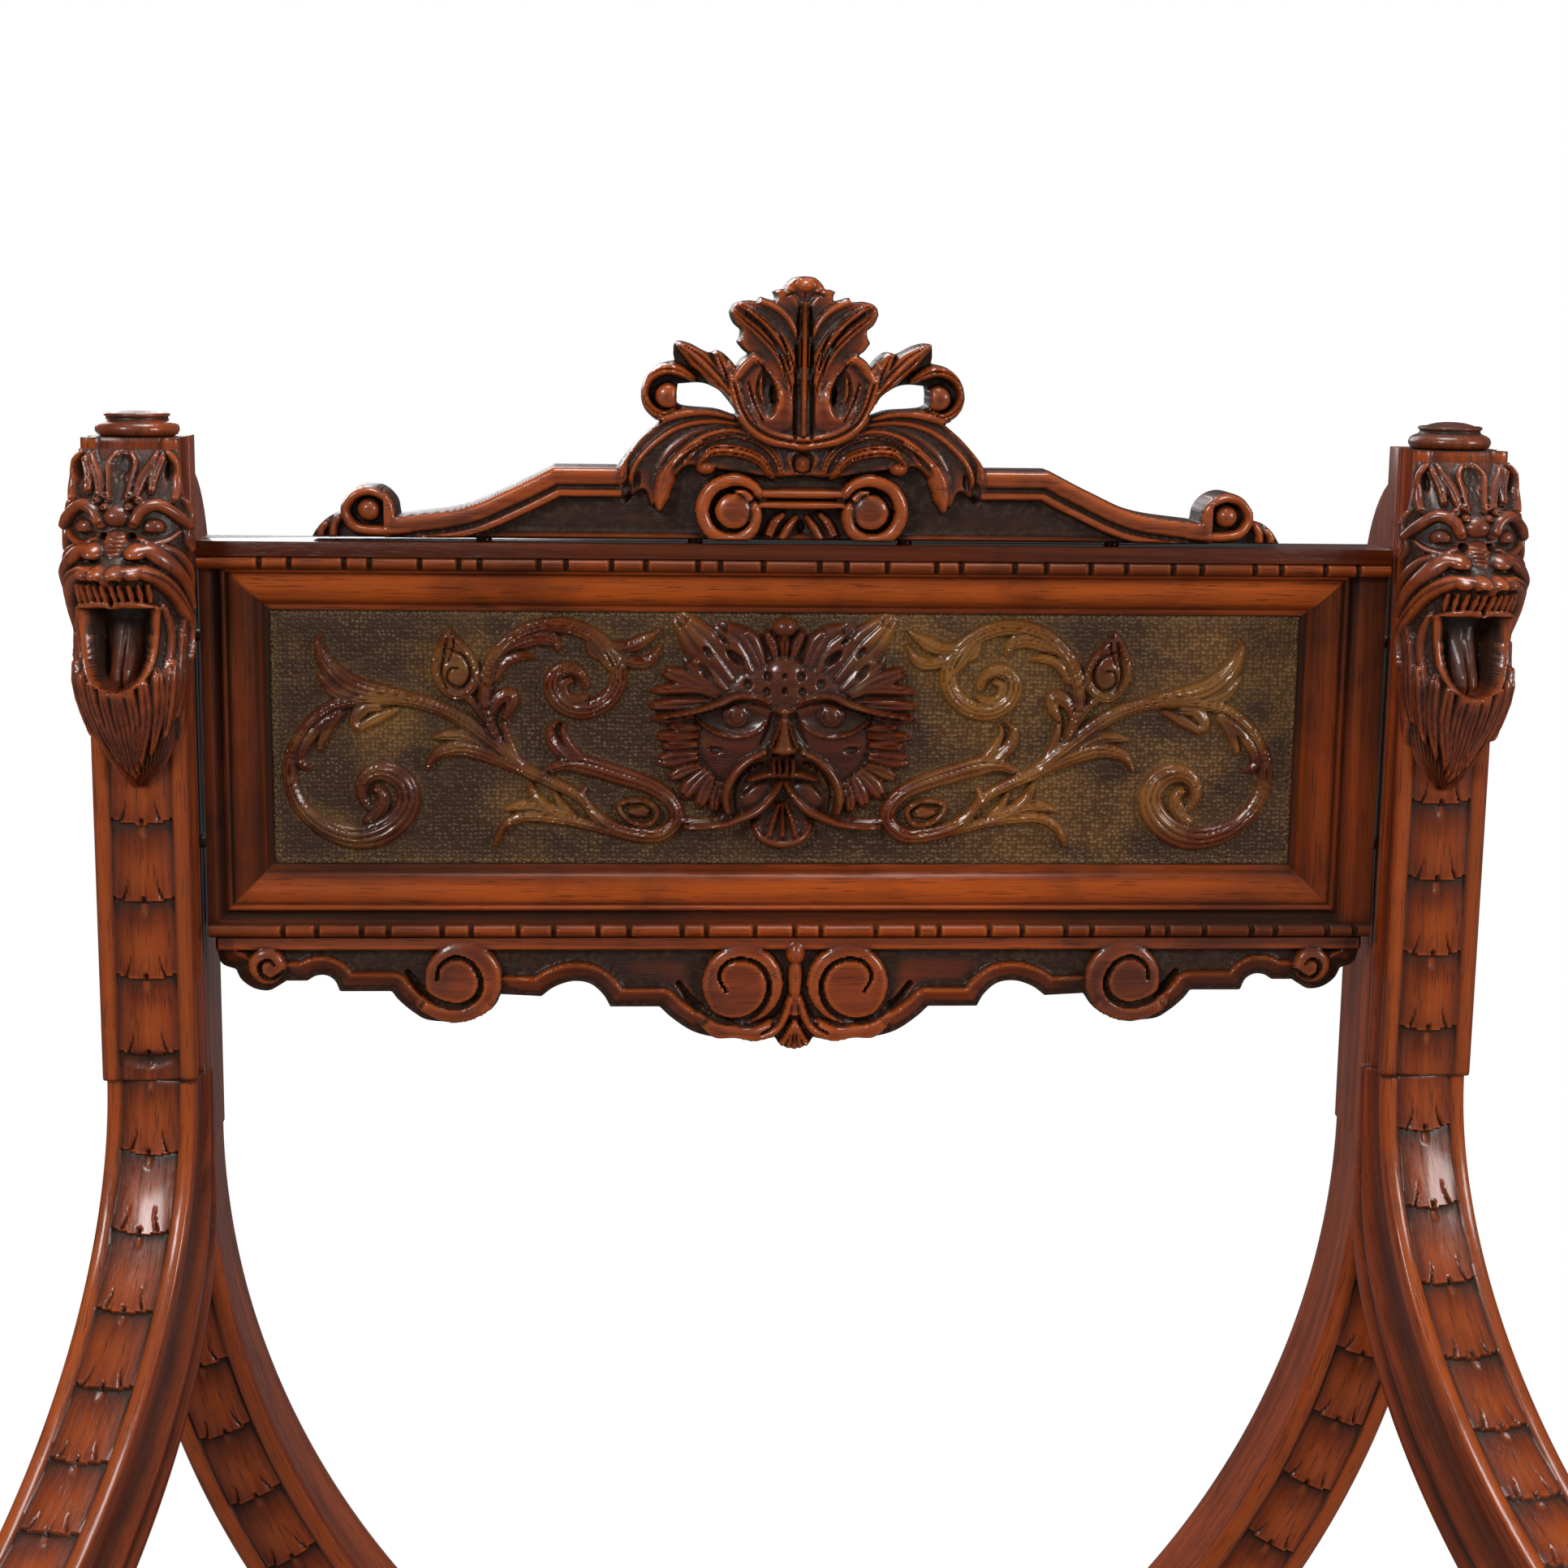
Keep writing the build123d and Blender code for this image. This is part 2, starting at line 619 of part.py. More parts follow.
def rail_section(outer_z, sight_z, bead_z):
    """Section of a rail: flat outer band, then an ogee falling to the sight edge."""
    toward = 1 if sight_z > outer_z else -1
    sight_y = back_front_y + MOULDING_DEPTH
    mid_z = (bead_z + sight_z) / 2
    mid_y = back_front_y + MOULDING_DEPTH * 0.45
    Polyline(
        (sight_y, sight_z), (back_rear_y, sight_z), (back_rear_y, outer_z),
        (back_front_y, outer_z), (back_front_y, bead_z),
    )
    Spline(
        (back_front_y, bead_z), (mid_y, mid_z), (sight_y, sight_z),
        tangents=((0.2, toward), (1, 0.35 * toward)),
    )


def groove_cut(length, sight_z, into):
    """Groove that holds the panel in a rail's sight edge."""
    with Locations((0, tenon_y, sight_z - into * PANEL_GROOVE / 2)):
        Box(
            length,
            PANEL_THICKNESS + 2 * JOINT_CLEARANCE,
            PANEL_GROOVE,
            mode=Mode.SUBTRACT,
        )


rails = {
    "back_top_rail": (rail_body_top, field_top, BACK_TOP - CAP_HEIGHT - BEAD_HEIGHT, -1),
    "back_bottom_rail": (back_bottom, field_bottom, back_bottom + BEAD_HEIGHT, 1),
}
for name, (outer_z, sight_z, bead_z, toward) in rails.items():
    with BuildPart() as rail:
        with BuildSketch(Plane.YZ.offset(-field_half)):
            with BuildLine():
                rail_section(outer_z, sight_z, bead_z)
            make_face()
        extrude(amount=2 * field_half)
        tenon_height = abs(outer_z - sight_z) - PANEL_GROOVE - 6
        tenon_z = outer_z + toward * (6 + tenon_height / 2)
        with Locations((0, tenon_y, tenon_z)):
            Box(2 * (field_half + TENON_LENGTH), TENON_THICKNESS, tenon_height)
        groove_cut(2 * field_half, sight_z, toward)
        # the crest's dowels go down into the top rail
        if toward < 0:
            with BuildSketch(Plane.XY.offset(BACK_TOP)):
                with Locations((0, crest_front_y + CREST_THICKNESS / 2)):
                    with GridLocations(2 * CREST_HALF / 4.6, 1, 4, 1):
                        Circle(DOWEL_RADIUS)
            extrude(amount=-DOWEL_LENGTH / 2, mode=Mode.SUBTRACT)
    finish(rail.part, name)

def pin_slot(side):
    """Space, open at the bottom, that lets the back slide up off the pegs in a post."""
    slot_radius = BACK_PIN_RADIUS + PIN_SLOT_CLEARANCE
    slot_top = max(BACK_PIN_HEIGHTS)
    slot_bottom = back_bottom - APRON_DROP
    slot_depth = BACK_PIN_REACH + 1
    with BuildPart() as slot:
        with BuildSketch(Plane.YZ.offset(side * (back_half - slot_depth))):
            with Locations((pin_y, (slot_top + slot_bottom) / 2)):
                Rectangle(2 * slot_radius, slot_top - slot_bottom)
            with Locations((pin_y, slot_top)):
                Circle(slot_radius)
        extrude(amount=side * (slot_depth + 1))
    return slot.part


for name, side in SIDES.items():
    with BuildPart() as stile:
        with BuildSketch(Plane.XY.offset(back_bottom)):
            with BuildLine():
                outer_x, sight_x = side * back_half, side * field_half
                ridge_x = side * (back_half - 0.42 * STILE_WIDTH)
                sight_y = back_front_y + MOULDING_DEPTH
                Polyline(
                    (sight_x, sight_y), (sight_x, back_rear_y), (outer_x, back_rear_y),
                    (outer_x, back_front_y + 2), (ridge_x, back_front_y),
                )
                Spline(
                    (ridge_x, back_front_y),
                    ((ridge_x + sight_x) / 2, back_front_y + 0.45 * MOULDING_DEPTH),
                    (sight_x, sight_y),
                    tangents=((-side, 0.2), (-0.35 * side, 1)),
                )
            make_face()
        extrude(amount=rail_body_top - back_bottom)
        # slight taper of the outer edge towards the bottom
        with BuildSketch(frontal(back_rear_y + 1)):
            with BuildLine():
                Polyline(
                    (side * back_half, rail_body_top),
                    (side * (back_half + 1), rail_body_top),
                    (side * (back_half + 1), back_bottom - 1),
                    (side * (back_half - BACK_TAPER), back_bottom - 1),
                    (side * back_half, rail_body_top),
                )
            make_face()
        extrude(amount=BACK_THICKNESS + 2, mode=Mode.SUBTRACT)
        # groove for the panel and mortises for the rails
        groove_height = field_top - field_bottom + 2 * PANEL_GROOVE
        with Locations((side * (field_half + PANEL_GROOVE / 2), tenon_y, field_mid)):
            Box(
                PANEL_GROOVE,
                PANEL_THICKNESS + 2 * JOINT_CLEARANCE,
                groove_height,
                mode=Mode.SUBTRACT,
            )
        for outer_z, sight_z, bead_z, toward in rails.values():
            tenon_height = abs(outer_z - sight_z) - PANEL_GROOVE - 6
            tenon_z = outer_z + toward * (6 + tenon_height / 2)
            with Locations((side * (field_half + TENON_LENGTH / 2), tenon_y, tenon_z)):
                Box(
                    TENON_LENGTH + 2 * JOINT_CLEARANCE,
                    TENON_THICKNESS + 2 * JOINT_CLEARANCE,
                    tenon_height + 2 * JOINT_CLEARANCE,
                    mode=Mode.SUBTRACT,
                )
        add(pin_slot(side), mode=Mode.SUBTRACT)
    finish(stile.part, f"{name}_stile")

with BuildPart() as carved_panel:
    groove_slack = 0.5
    panel_half = field_half + PANEL_GROOVE - groove_slack
    panel_high = field_top - field_bottom + 2 * (PANEL_GROOVE - groove_slack)
    with Locations((0, tenon_y, field_mid)):
        Box(2 * panel_half, PANEL_THICKNESS, panel_high)
    # central mask and the scrolls of foliage, as plain low blocks
    for proud, share in ((0, 1.0), (MASK_RELIEF, 0.72)):
        with BuildSketch(frontal(panel_front_y - proud)):
            with Locations((0, field_mid)):
                Ellipse(MASK_WIDTH / 2 * share, MASK_HEIGHT / 2 * share)
    loft()
    scroll_height = 0.72 * (field_top - field_bottom)
    for side in SIDES.values():
        with BuildSketch(frontal(panel_front_y)):
            with BuildLine():
                start = side * 0.27 * field_half
                first, second = side * 0.50 * field_half, side * 0.72 * field_half
                end = side * 0.90 * field_half
                Spline(
                    (start, field_mid - 0.5 * scroll_height),
                    (first, field_mid - 0.1 * scroll_height),
                    (second, field_mid + 0.3 * scroll_height),
                    (end, field_mid - 0.05 * scroll_height),
                    (0.82 * end, field_mid - 0.48 * scroll_height),
                )
            trace(line_width=SCROLL_STEM)
        extrude(amount=RELIEF_HEIGHT - 2)
        with BuildSketch(frontal(panel_front_y)):
            with Locations((first, field_mid + 0.12 * scroll_height)):
                Circle(0.26 * scroll_height)
                Circle(0.15 * scroll_height, mode=Mode.SUBTRACT)
        extrude(amount=RELIEF_HEIGHT - 2)
finish(carved_panel.part, "carved_panel")

with BuildPart() as cap_strip:
    with Locations((0, (back_front_y - CAP_NOSING + back_rear_y) / 2, BACK_TOP - CAP_HEIGHT / 2)):
        Box(BACK_WIDTH, BACK_THICKNESS + CAP_NOSING, CAP_HEIGHT)
    with BuildSketch(Plane.XY.offset(BACK_TOP)):
        with Locations((0, crest_front_y + CREST_THICKNESS / 2)):
            with GridLocations(2 * CREST_HALF / 4.6, 1, 4, 1):
                Circle(DOWEL_RADIUS)
    extrude(amount=-CAP_HEIGHT, mode=Mode.SUBTRACT)
finish(cap_strip.part, "back_cap")

beads = {
    "upper_bead": (BACK_TOP - CAP_HEIGHT - BEAD_HEIGHT / 2, 0),
    "lower_bead": (back_bottom + BEAD_HEIGHT / 2, BACK_TAPER),
}
for name, (bead_z, shorter) in beads.items():
    with BuildPart() as bead_strip:
        bead_half = back_half - shorter
        with BuildSketch(Plane.YZ.offset(-bead_half)):
            with BuildLine():
                round_y = back_front_y - BEAD_PROUD + BEAD_HEIGHT / 2
                lower, upper = bead_z - BEAD_HEIGHT / 2, bead_z + BEAD_HEIGHT / 2
                ThreePointArc(
                    (round_y, upper), (back_front_y - BEAD_PROUD, bead_z), (round_y, lower)
                )
                Polyline(
                    (round_y, lower), (back_front_y, lower), (back_front_y, upper), (round_y, upper)
                )
            make_face()
        extrude(amount=2 * bead_half)
        notches = int(2 * bead_half / BEAD_PITCH) - 1
        with Locations((0, back_front_y - BEAD_PROUD, bead_z)):
            with GridLocations(BEAD_PITCH, 1, notches, 1):
                Box(2.5, 0.7 * BEAD_PROUD, BEAD_HEIGHT, mode=Mode.SUBTRACT)
    finish(bead_strip.part, name)

# ------------------------------------------------------------------ apron
apron_scale = APRON_HALF / 262.0
apron_depth = APRON_DROP / 56.0


def apron_points(pairs, side=1):
    """Outline points given as (from the middle, below the back) at nominal size."""
    return [(side * x * apron_scale, back_bottom - z * apron_depth) for x, z in pairs]


def apron_edge(side):
    """Scalloped lower edge of half the apron, from the outer end to the middle."""
    runs = (
        ("arc", ((262, 9), (260, 15), (253.5, 17))),
        ("arc", ((253.5, 17), (241.5, 27), (232, 22.5))),
        ("line", ((232, 22.5), (222, 22.5))),
        ("arc", ((222, 22.5), (215, 19.5), (207, 27.5))),
        ("line", ((207, 27.5), (184, 27.5))),
        ("arc", ((184, 27.5), (159, 41.5), (136, 29))),
        ("line", ((136, 29), (116, 30))),
        ("arc", ((116, 30), (99, 21.5), (83.5, 35))),
        ("line", ((83.5, 35), (60, 35))),
        ("arc", ((60, 35), (37, 50), (9, 51))),
        ("arc", ((9, 51), (5, 54.5), (0, 56))),
    )
    for kind, pairs in runs:
        points = apron_points(pairs, side)
        if kind == "arc":
            ThreePointArc(*points)
        else:
            Line(*points)


apron_rear_y = back_rear_y - 4
apron_front_y = apron_rear_y - APRON_THICKNESS
with BuildPart() as apron:
    with BuildSketch(frontal(apron_rear_y)):
        with BuildLine():
            for side in (-1, 1):
                apron_edge(side)
            end_points = apron_points([(262, 9), (262, 0)])
            Polyline(
                end_points[0],
                end_points[1],
                (-end_points[1][0], back_bottom),
                (-end_points[0][0], end_points[0][1]),
            )
        make_face()
    extrude(amount=APRON_THICKNESS)
    volutes = ((243, 17, 9.5), (155, 22, 20), (25.5, 25, 21))
    for side in (-1, 1):
        for x, down, radius in volutes:
            centre = apron_points([(x, down)], side)[0]
            with BuildSketch(frontal(apron_front_y)):
                with Locations(centre):
                    Circle(radius * apron_scale)
            extrude(amount=VOLUTE_RELIEF, taper=12)
        add(pin_slot(side), mode=Mode.SUBTRACT)
finish(apron.part, "apron")

# ------------------------------------------------------------------ crest
crest_wide = CREST_HALF / 216.0
crest_high = CREST_HEIGHT / 115.5


def crest_points(pairs, side=1):
    """Outline points given as (from the middle, above the crest's foot) at nominal size."""
    return [(side * x * crest_wide, crest_base + z * crest_high) for x, z in pairs]


def crest_edge(side):
    """Upper edge of half the crest, from the middle to the outer end."""
    runs = (
        ("curve", ((0, 115.5), (6, 109.5), (12.5, 107), (14.5, 103.5))),
        ("curve", ((14.5, 103.5), (20, 104), (30.3, 101.5), (27, 93.5), (25, 89.5))),
        ("line", ((25, 89.5), (27, 86.5), (23.5, 81.5), (29.6, 75.5))),
        ("curve", ((29.6, 75.5), (35, 81.5), (41.8, 84), (49, 84.5), (57.4, 84), (57, 77.5))),
        ("curve", ((57, 77.5), (65.5, 72), (69.3, 64.7), (67.8, 56.4), (62.5, 52))),
        ("curve", ((62.5, 52), (70.2, 44.5), (76.1, 37.4), (81, 32))),
        ("line", ((81, 32), (110, 32))),
        ("curve", ((110, 32), (128, 23), (150, 13.5), (178, 9.5))),
        ("curve", ((178, 9.5), (181, 19), (190, 22.5), (199, 17), (203, 10))),
        ("curve", ((203, 10), (211, 6), (216, 0))),
    )
    for kind, pairs in runs:
        points = crest_points(pairs, side)
        if kind == "curve":
            Spline(points)
        else:
            Polyline(points)


with BuildPart() as crest_board:
    with BuildSketch(frontal(crest_rear_y)):
        with BuildLine():
            for side in (-1, 1):
                crest_edge(side)
            foot_points = crest_points([(216, 0)])
            Line((-foot_points[0][0], crest_base), (foot_points[0][0], crest_base))
        make_face()
        # openings between the curled stems and the big leaves
        for side in (-1, 1):
            with BuildLine():
                opening = crest_points(
                    [(27, 56), (33, 62), (42, 66.5), (50, 67.5), (50, 57.5), (40, 57)], side
                )
                Polyline(*opening, close=True)
            make_face(mode=Mode.SUBTRACT)
    extrude(amount=CREST_THICKNESS)
    # raised palmette, leaves and volutes in front of the board
    leaf_lumps = (
        (0, 84, 17, 20, 1.0), (0, 60, 21, 13, 0.8),
        (44, 40, 25, 9, 0.7), (34, 15, 14, 13, 0.6),
    )
    for across, up, half_width, half_height, share in leaf_lumps:
        for side in (-1, 1) if across else (1,):
            centre = crest_points([(across, up)], side)[0]
            for proud, spread in ((-1, 1.0), (CREST_RELIEF * share, 0.8)):
                with BuildSketch(frontal(crest_front_y - proud)):
                    with Locations(centre):
                        Ellipse(
                            half_width * crest_wide * spread, half_height * crest_high * spread
                        )
            loft()
    with BuildSketch(Plane.XY.offset(crest_base)):
        with Locations((0, crest_front_y + CREST_THICKNESS / 2)):
            with GridLocations(2 * CREST_HALF / 4.6, 1, 4, 1):
                Circle(DOWEL_RADIUS)
    extrude(amount=DOWEL_LENGTH / 2 - CREST_LIFT, mode=Mode.SUBTRACT)
finish(crest_board.part, "crest_board")

with BuildPart() as crest_dowels:
    with BuildSketch(Plane.XY.offset(BACK_TOP - DOWEL_LENGTH / 2)):
        with Locations((0, crest_front_y + CREST_THICKNESS / 2)):
            with GridLocations(2 * CREST_HALF / 4.6, 1, 4, 1):
                Circle(DOWEL_RADIUS)
    extrude(amount=DOWEL_LENGTH)
finish(crest_dowels.part, "crest_dowels")

with BuildPart() as back_pins:
    for side in SIDES.values():
        with BuildSketch(Plane.YZ.offset(side * (back_half - BACK_PIN_REACH))):
            with Locations(*back_pin_points()):
                Circle(BACK_PIN_RADIUS)
        extrude(amount=side * BACK_PIN_LENGTH)
finish(back_pins.part, "back_pins")

print("crossing height", round(crossing_z, 1), "foot x", round(foot_x, 1))
print("front post x", round(front_post_x, 1), "arm end run", round(arm_end_run, 1))
print("crossing slope", round(degrees(crossing_slope), 1))
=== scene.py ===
"""Savonarola armchair in carved walnut, dressed around its packed construction. Metres, +Z up."""
import json
from math import cos, pi, radians, sin, tan

import bpy
import numpy as np
from mathutils import Matrix, Vector

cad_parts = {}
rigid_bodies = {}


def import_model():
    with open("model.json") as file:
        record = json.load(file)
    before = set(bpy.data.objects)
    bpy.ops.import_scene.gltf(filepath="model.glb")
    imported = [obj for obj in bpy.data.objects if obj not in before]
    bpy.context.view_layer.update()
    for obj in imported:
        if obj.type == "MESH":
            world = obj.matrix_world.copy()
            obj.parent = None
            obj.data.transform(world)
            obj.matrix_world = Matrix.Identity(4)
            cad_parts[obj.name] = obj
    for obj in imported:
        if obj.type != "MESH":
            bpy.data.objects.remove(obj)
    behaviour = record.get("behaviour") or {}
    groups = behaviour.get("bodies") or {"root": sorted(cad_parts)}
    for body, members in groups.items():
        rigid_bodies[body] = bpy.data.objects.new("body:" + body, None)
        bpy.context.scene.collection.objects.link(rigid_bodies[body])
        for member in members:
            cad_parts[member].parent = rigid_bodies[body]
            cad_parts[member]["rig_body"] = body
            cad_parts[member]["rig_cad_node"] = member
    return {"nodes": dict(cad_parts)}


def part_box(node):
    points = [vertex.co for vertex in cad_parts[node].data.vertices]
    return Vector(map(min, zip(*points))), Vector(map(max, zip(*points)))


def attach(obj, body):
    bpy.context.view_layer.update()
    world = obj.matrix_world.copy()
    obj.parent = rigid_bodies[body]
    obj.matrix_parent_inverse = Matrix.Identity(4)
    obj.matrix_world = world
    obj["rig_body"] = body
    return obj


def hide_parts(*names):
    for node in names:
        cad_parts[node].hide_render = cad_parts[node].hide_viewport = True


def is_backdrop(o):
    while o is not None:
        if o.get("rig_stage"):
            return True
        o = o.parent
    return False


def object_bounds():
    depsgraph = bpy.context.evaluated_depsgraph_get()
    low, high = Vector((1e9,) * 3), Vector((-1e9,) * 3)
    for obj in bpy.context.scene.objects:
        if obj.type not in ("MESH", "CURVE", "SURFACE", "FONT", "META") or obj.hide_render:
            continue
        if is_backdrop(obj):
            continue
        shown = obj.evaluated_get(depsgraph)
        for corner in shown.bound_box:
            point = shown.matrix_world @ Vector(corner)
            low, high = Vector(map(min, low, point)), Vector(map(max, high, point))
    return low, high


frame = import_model()
cad_bounds = [list(corner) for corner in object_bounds()]

# ---------------------------------------------------------------- studio and camera
# A pale floor and soft lamps. The camera stands in front of the chair, a little to its left,
# and looks slightly down at the carved back.
MM = 0.001
FRAME_SIDE = 1932
FOCAL_PIXELS = 3180
SENSOR = 36.0
camera_place = Vector((-0.0727, -0.9528, 1.1328))
camera_yaw, camera_pitch, camera_roll = radians(3.32), radians(10.28), radians(0.74)

reach = cos(camera_pitch)
ahead = Vector((sin(camera_yaw) * reach, cos(camera_yaw) * reach, -sin(camera_pitch)))
level = Vector((cos(camera_yaw), -sin(camera_yaw), 0))
upright = level.cross(ahead)
right = cos(camera_roll) * level + sin(camera_roll) * upright
up = cos(camera_roll) * upright - sin(camera_roll) * level
lens = bpy.data.cameras.new("camera")
lens.sensor_width = SENSOR
lens.lens = SENSOR * FOCAL_PIXELS / FRAME_SIDE
lens.clip_start, lens.clip_end = 0.05, 50
camera = bpy.data.objects.new("camera", lens)
turned = Matrix((right, up, -ahead)).transposed().to_4x4()
camera.matrix_world = Matrix.Translation(camera_place) @ turned
bpy.context.scene.collection.objects.link(camera)
bpy.context.scene.camera = camera
bpy.context.scene.view_settings.view_transform = "Standard"


class Shade:
    """A socket in a material, so that sums on it add its maths nodes."""

    def __init__(self, tree, socket=None):
        self.tree, self.socket = tree, socket

    def node(self, kind, settings=(), feeds=(), out=0):
        """Any node: its settings first, then the values or sockets that feed it."""
        made = self.tree.nodes.new(kind)
        for key, value in dict(settings).items():
            setattr(made, key, value)
        for key, value in dict(feeds).items():
            self.feed(made.inputs[key], value)
        return Shade(self.tree, made.outputs[out])

    def feed(self, target, value):
        """Links a socket to an input, or sets the input to a number or a colour."""
        if isinstance(value, Shade):
            self.tree.links.new(value.socket, target)
        elif isinstance(value, tuple) and len(value) == 3 and len(target.default_value) == 4:
            target.default_value = (*value, 1)
        else:
            target.default_value = value

    def sum(self, operation, first, second=0.0):
        return self.node("ShaderNodeMath", {"operation": operation}, {0: first, 1: second})

    def __add__(self, other):
        return self.sum("ADD", self, other)

    def __sub__(self, other):
        return self.sum("SUBTRACT", self, other)

    def __rsub__(self, other):
        return self.sum("SUBTRACT", other, self)

    def __mul__(self, other):
        return self.sum("MULTIPLY", self, other)

    __radd__, __rmul__ = __add__, __mul__

    def between(self, low, high):
        """0 at low, 1 at high, straight between."""
        feeds = {"Value": self, "From Min": low, "From Max": high}
        return self.node("ShaderNodeMapRange", {"clamp": True}, feeds)

    def mix(self, first, second):
        """The first colour where this socket is 0, the second where it is 1."""
        return self.node("ShaderNodeMix", {"data_type": "RGBA"}, {0: self, 6: first, 7: second}, 2)


def new_material(name):
    """An empty material, as a Shade on its tree, and its output node."""
    material = bpy.data.materials.new(name)
    material.use_nodes = True
    material.node_tree.nodes.clear()
    output = material.node_tree.nodes.new("ShaderNodeOutputMaterial")
    return material, Shade(material.node_tree), output


FLOOR_SPAN = 9.0
FLOOR_COLOUR = (0.86, 0.86, 0.85)
FLOOR_GLEAM = 0.12
WHITE = (1.0, 1.0, 1.0)
SKY_TINT = (0.96, 0.98, 1.0)
bpy.ops.object.select_all(action="DESELECT")
bpy.ops.mesh.primitive_plane_add(size=FLOOR_SPAN)
floor = bpy.context.object
floor.name = "floor"
pale, shade, output = new_material("pale_floor")
seen = shade.node("ShaderNodeLightPath", out="Is Camera Ray")
place = shade.node("ShaderNodeTexCoord", out="Object")
away = shade.node("ShaderNodeVectorMath", {"operation": "LENGTH"}, {0: place}, out="Value")
glow = shade.node("ShaderNodeEmission", {}, {"Color": WHITE, "Strength": 1.0})
matte = shade.node("ShaderNodeBsdfDiffuse", {}, {"Color": FLOOR_COLOUR})
reflected = shade.node("ShaderNodeLightPath", out="Is Glossy Ray")
faint = shade.node("ShaderNodeEmission", {}, {"Color": WHITE, "Strength": FLOOR_GLEAM})
white = seen * (away.between(0.35, 1.3) * 0.35 + 0.65)
lit = shade.node("ShaderNodeMixShader", {}, {0: white, 1: matte, 2: glow})
surface = shade.node("ShaderNodeMixShader", {}, {0: reflected, 1: lit, 2: faint})
shade.feed(output.inputs["Surface"], surface)
floor.data.materials.append(pale)
floor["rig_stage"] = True

world = bpy.data.worlds.new("studio")
world.use_nodes = True
world.node_tree.nodes.clear()
sky = Shade(world.node_tree)
straight = sky.node("ShaderNodeLightPath", out="Is Camera Ray")
mirrored = sky.node("ShaderNodeLightPath", out="Is Glossy Ray")
backdrop = sky.node("ShaderNodeBackground", {}, {"Color": WHITE, "Strength": 1.0})
fill = sky.node("ShaderNodeBackground", {}, {"Color": SKY_TINT, "Strength": 0.34})
dim = sky.node("ShaderNodeBackground", {}, {"Color": SKY_TINT, "Strength": 0.10})
soft = sky.node("ShaderNodeMixShader", {}, {0: mirrored, 1: fill, 2: dim})
both = sky.node("ShaderNodeMixShader", {}, {0: straight, 1: soft, 2: backdrop})
world_output = world.node_tree.nodes.new("ShaderNodeOutputWorld")
sky.feed(world_output.inputs["Surface"], both)
bpy.context.scene.world = world

# Each lamp: its place, what it points at, the side of its square and its power in watts.
lamps = {
    "key": ((-1.5, -1.9, 2.4), (0.0, 0.15, 0.9), 0.7, 34.0),
    "side": ((2.0, -1.2, 1.7), (0.0, 0.2, 0.85), 0.7, 22.0),
    "top": ((0.1, 0.1, 2.9), (0.0, 0.15, 0.8), 0.8, 26.0),
    "rear": ((-0.9, 2.3, 2.0), (0.0, 0.1, 0.8), 1.6, 26.0),
}
for name, (place, target, size, power) in lamps.items():
    light = bpy.data.lights.new(name, "AREA")
    light.shape, light.size, light.energy = "SQUARE", size, power
    lamp = bpy.data.objects.new(name, light)
    lamp.location = place
    lamp.rotation_euler = (Vector(target) - Vector(place)).to_track_quat("-Z", "Y").to_euler()
    bpy.context.scene.collection.objects.link(lamp)


# ---------------------------------------------------------------- walnut
# Old varnished walnut, orange brown with long dark fibres and short open pores. Wear and painted
# highlights turn the heights golden; painted shade with patina turns the recesses near black. Every
# piece carries its own grain direction, its painted shade, and its wear and painted highlight.
HEART = (0.40, 0.062, 0.007)
STREAK = (0.095, 0.013, 0.003)
# GOLDEN is the colour of the figure's light streaks and of wear and painted highlights.
GOLDEN = (0.56, 0.115, 0.014)
# Near-black brown of the pores and the patina, used also as the painted shade in recesses.
PATINA_AND_SHADE = (0.031, 0.0108, 0.0055)
DUST = (0.27, 0.175, 0.09)
SMOKED = (0.050, 0.021, 0.006)
FLECK = (0.30, 0.16, 0.055)
OLIVE_GOLD = (0.20, 0.088, 0.013)
OLD_GOLD = (0.42, 0.19, 0.03)


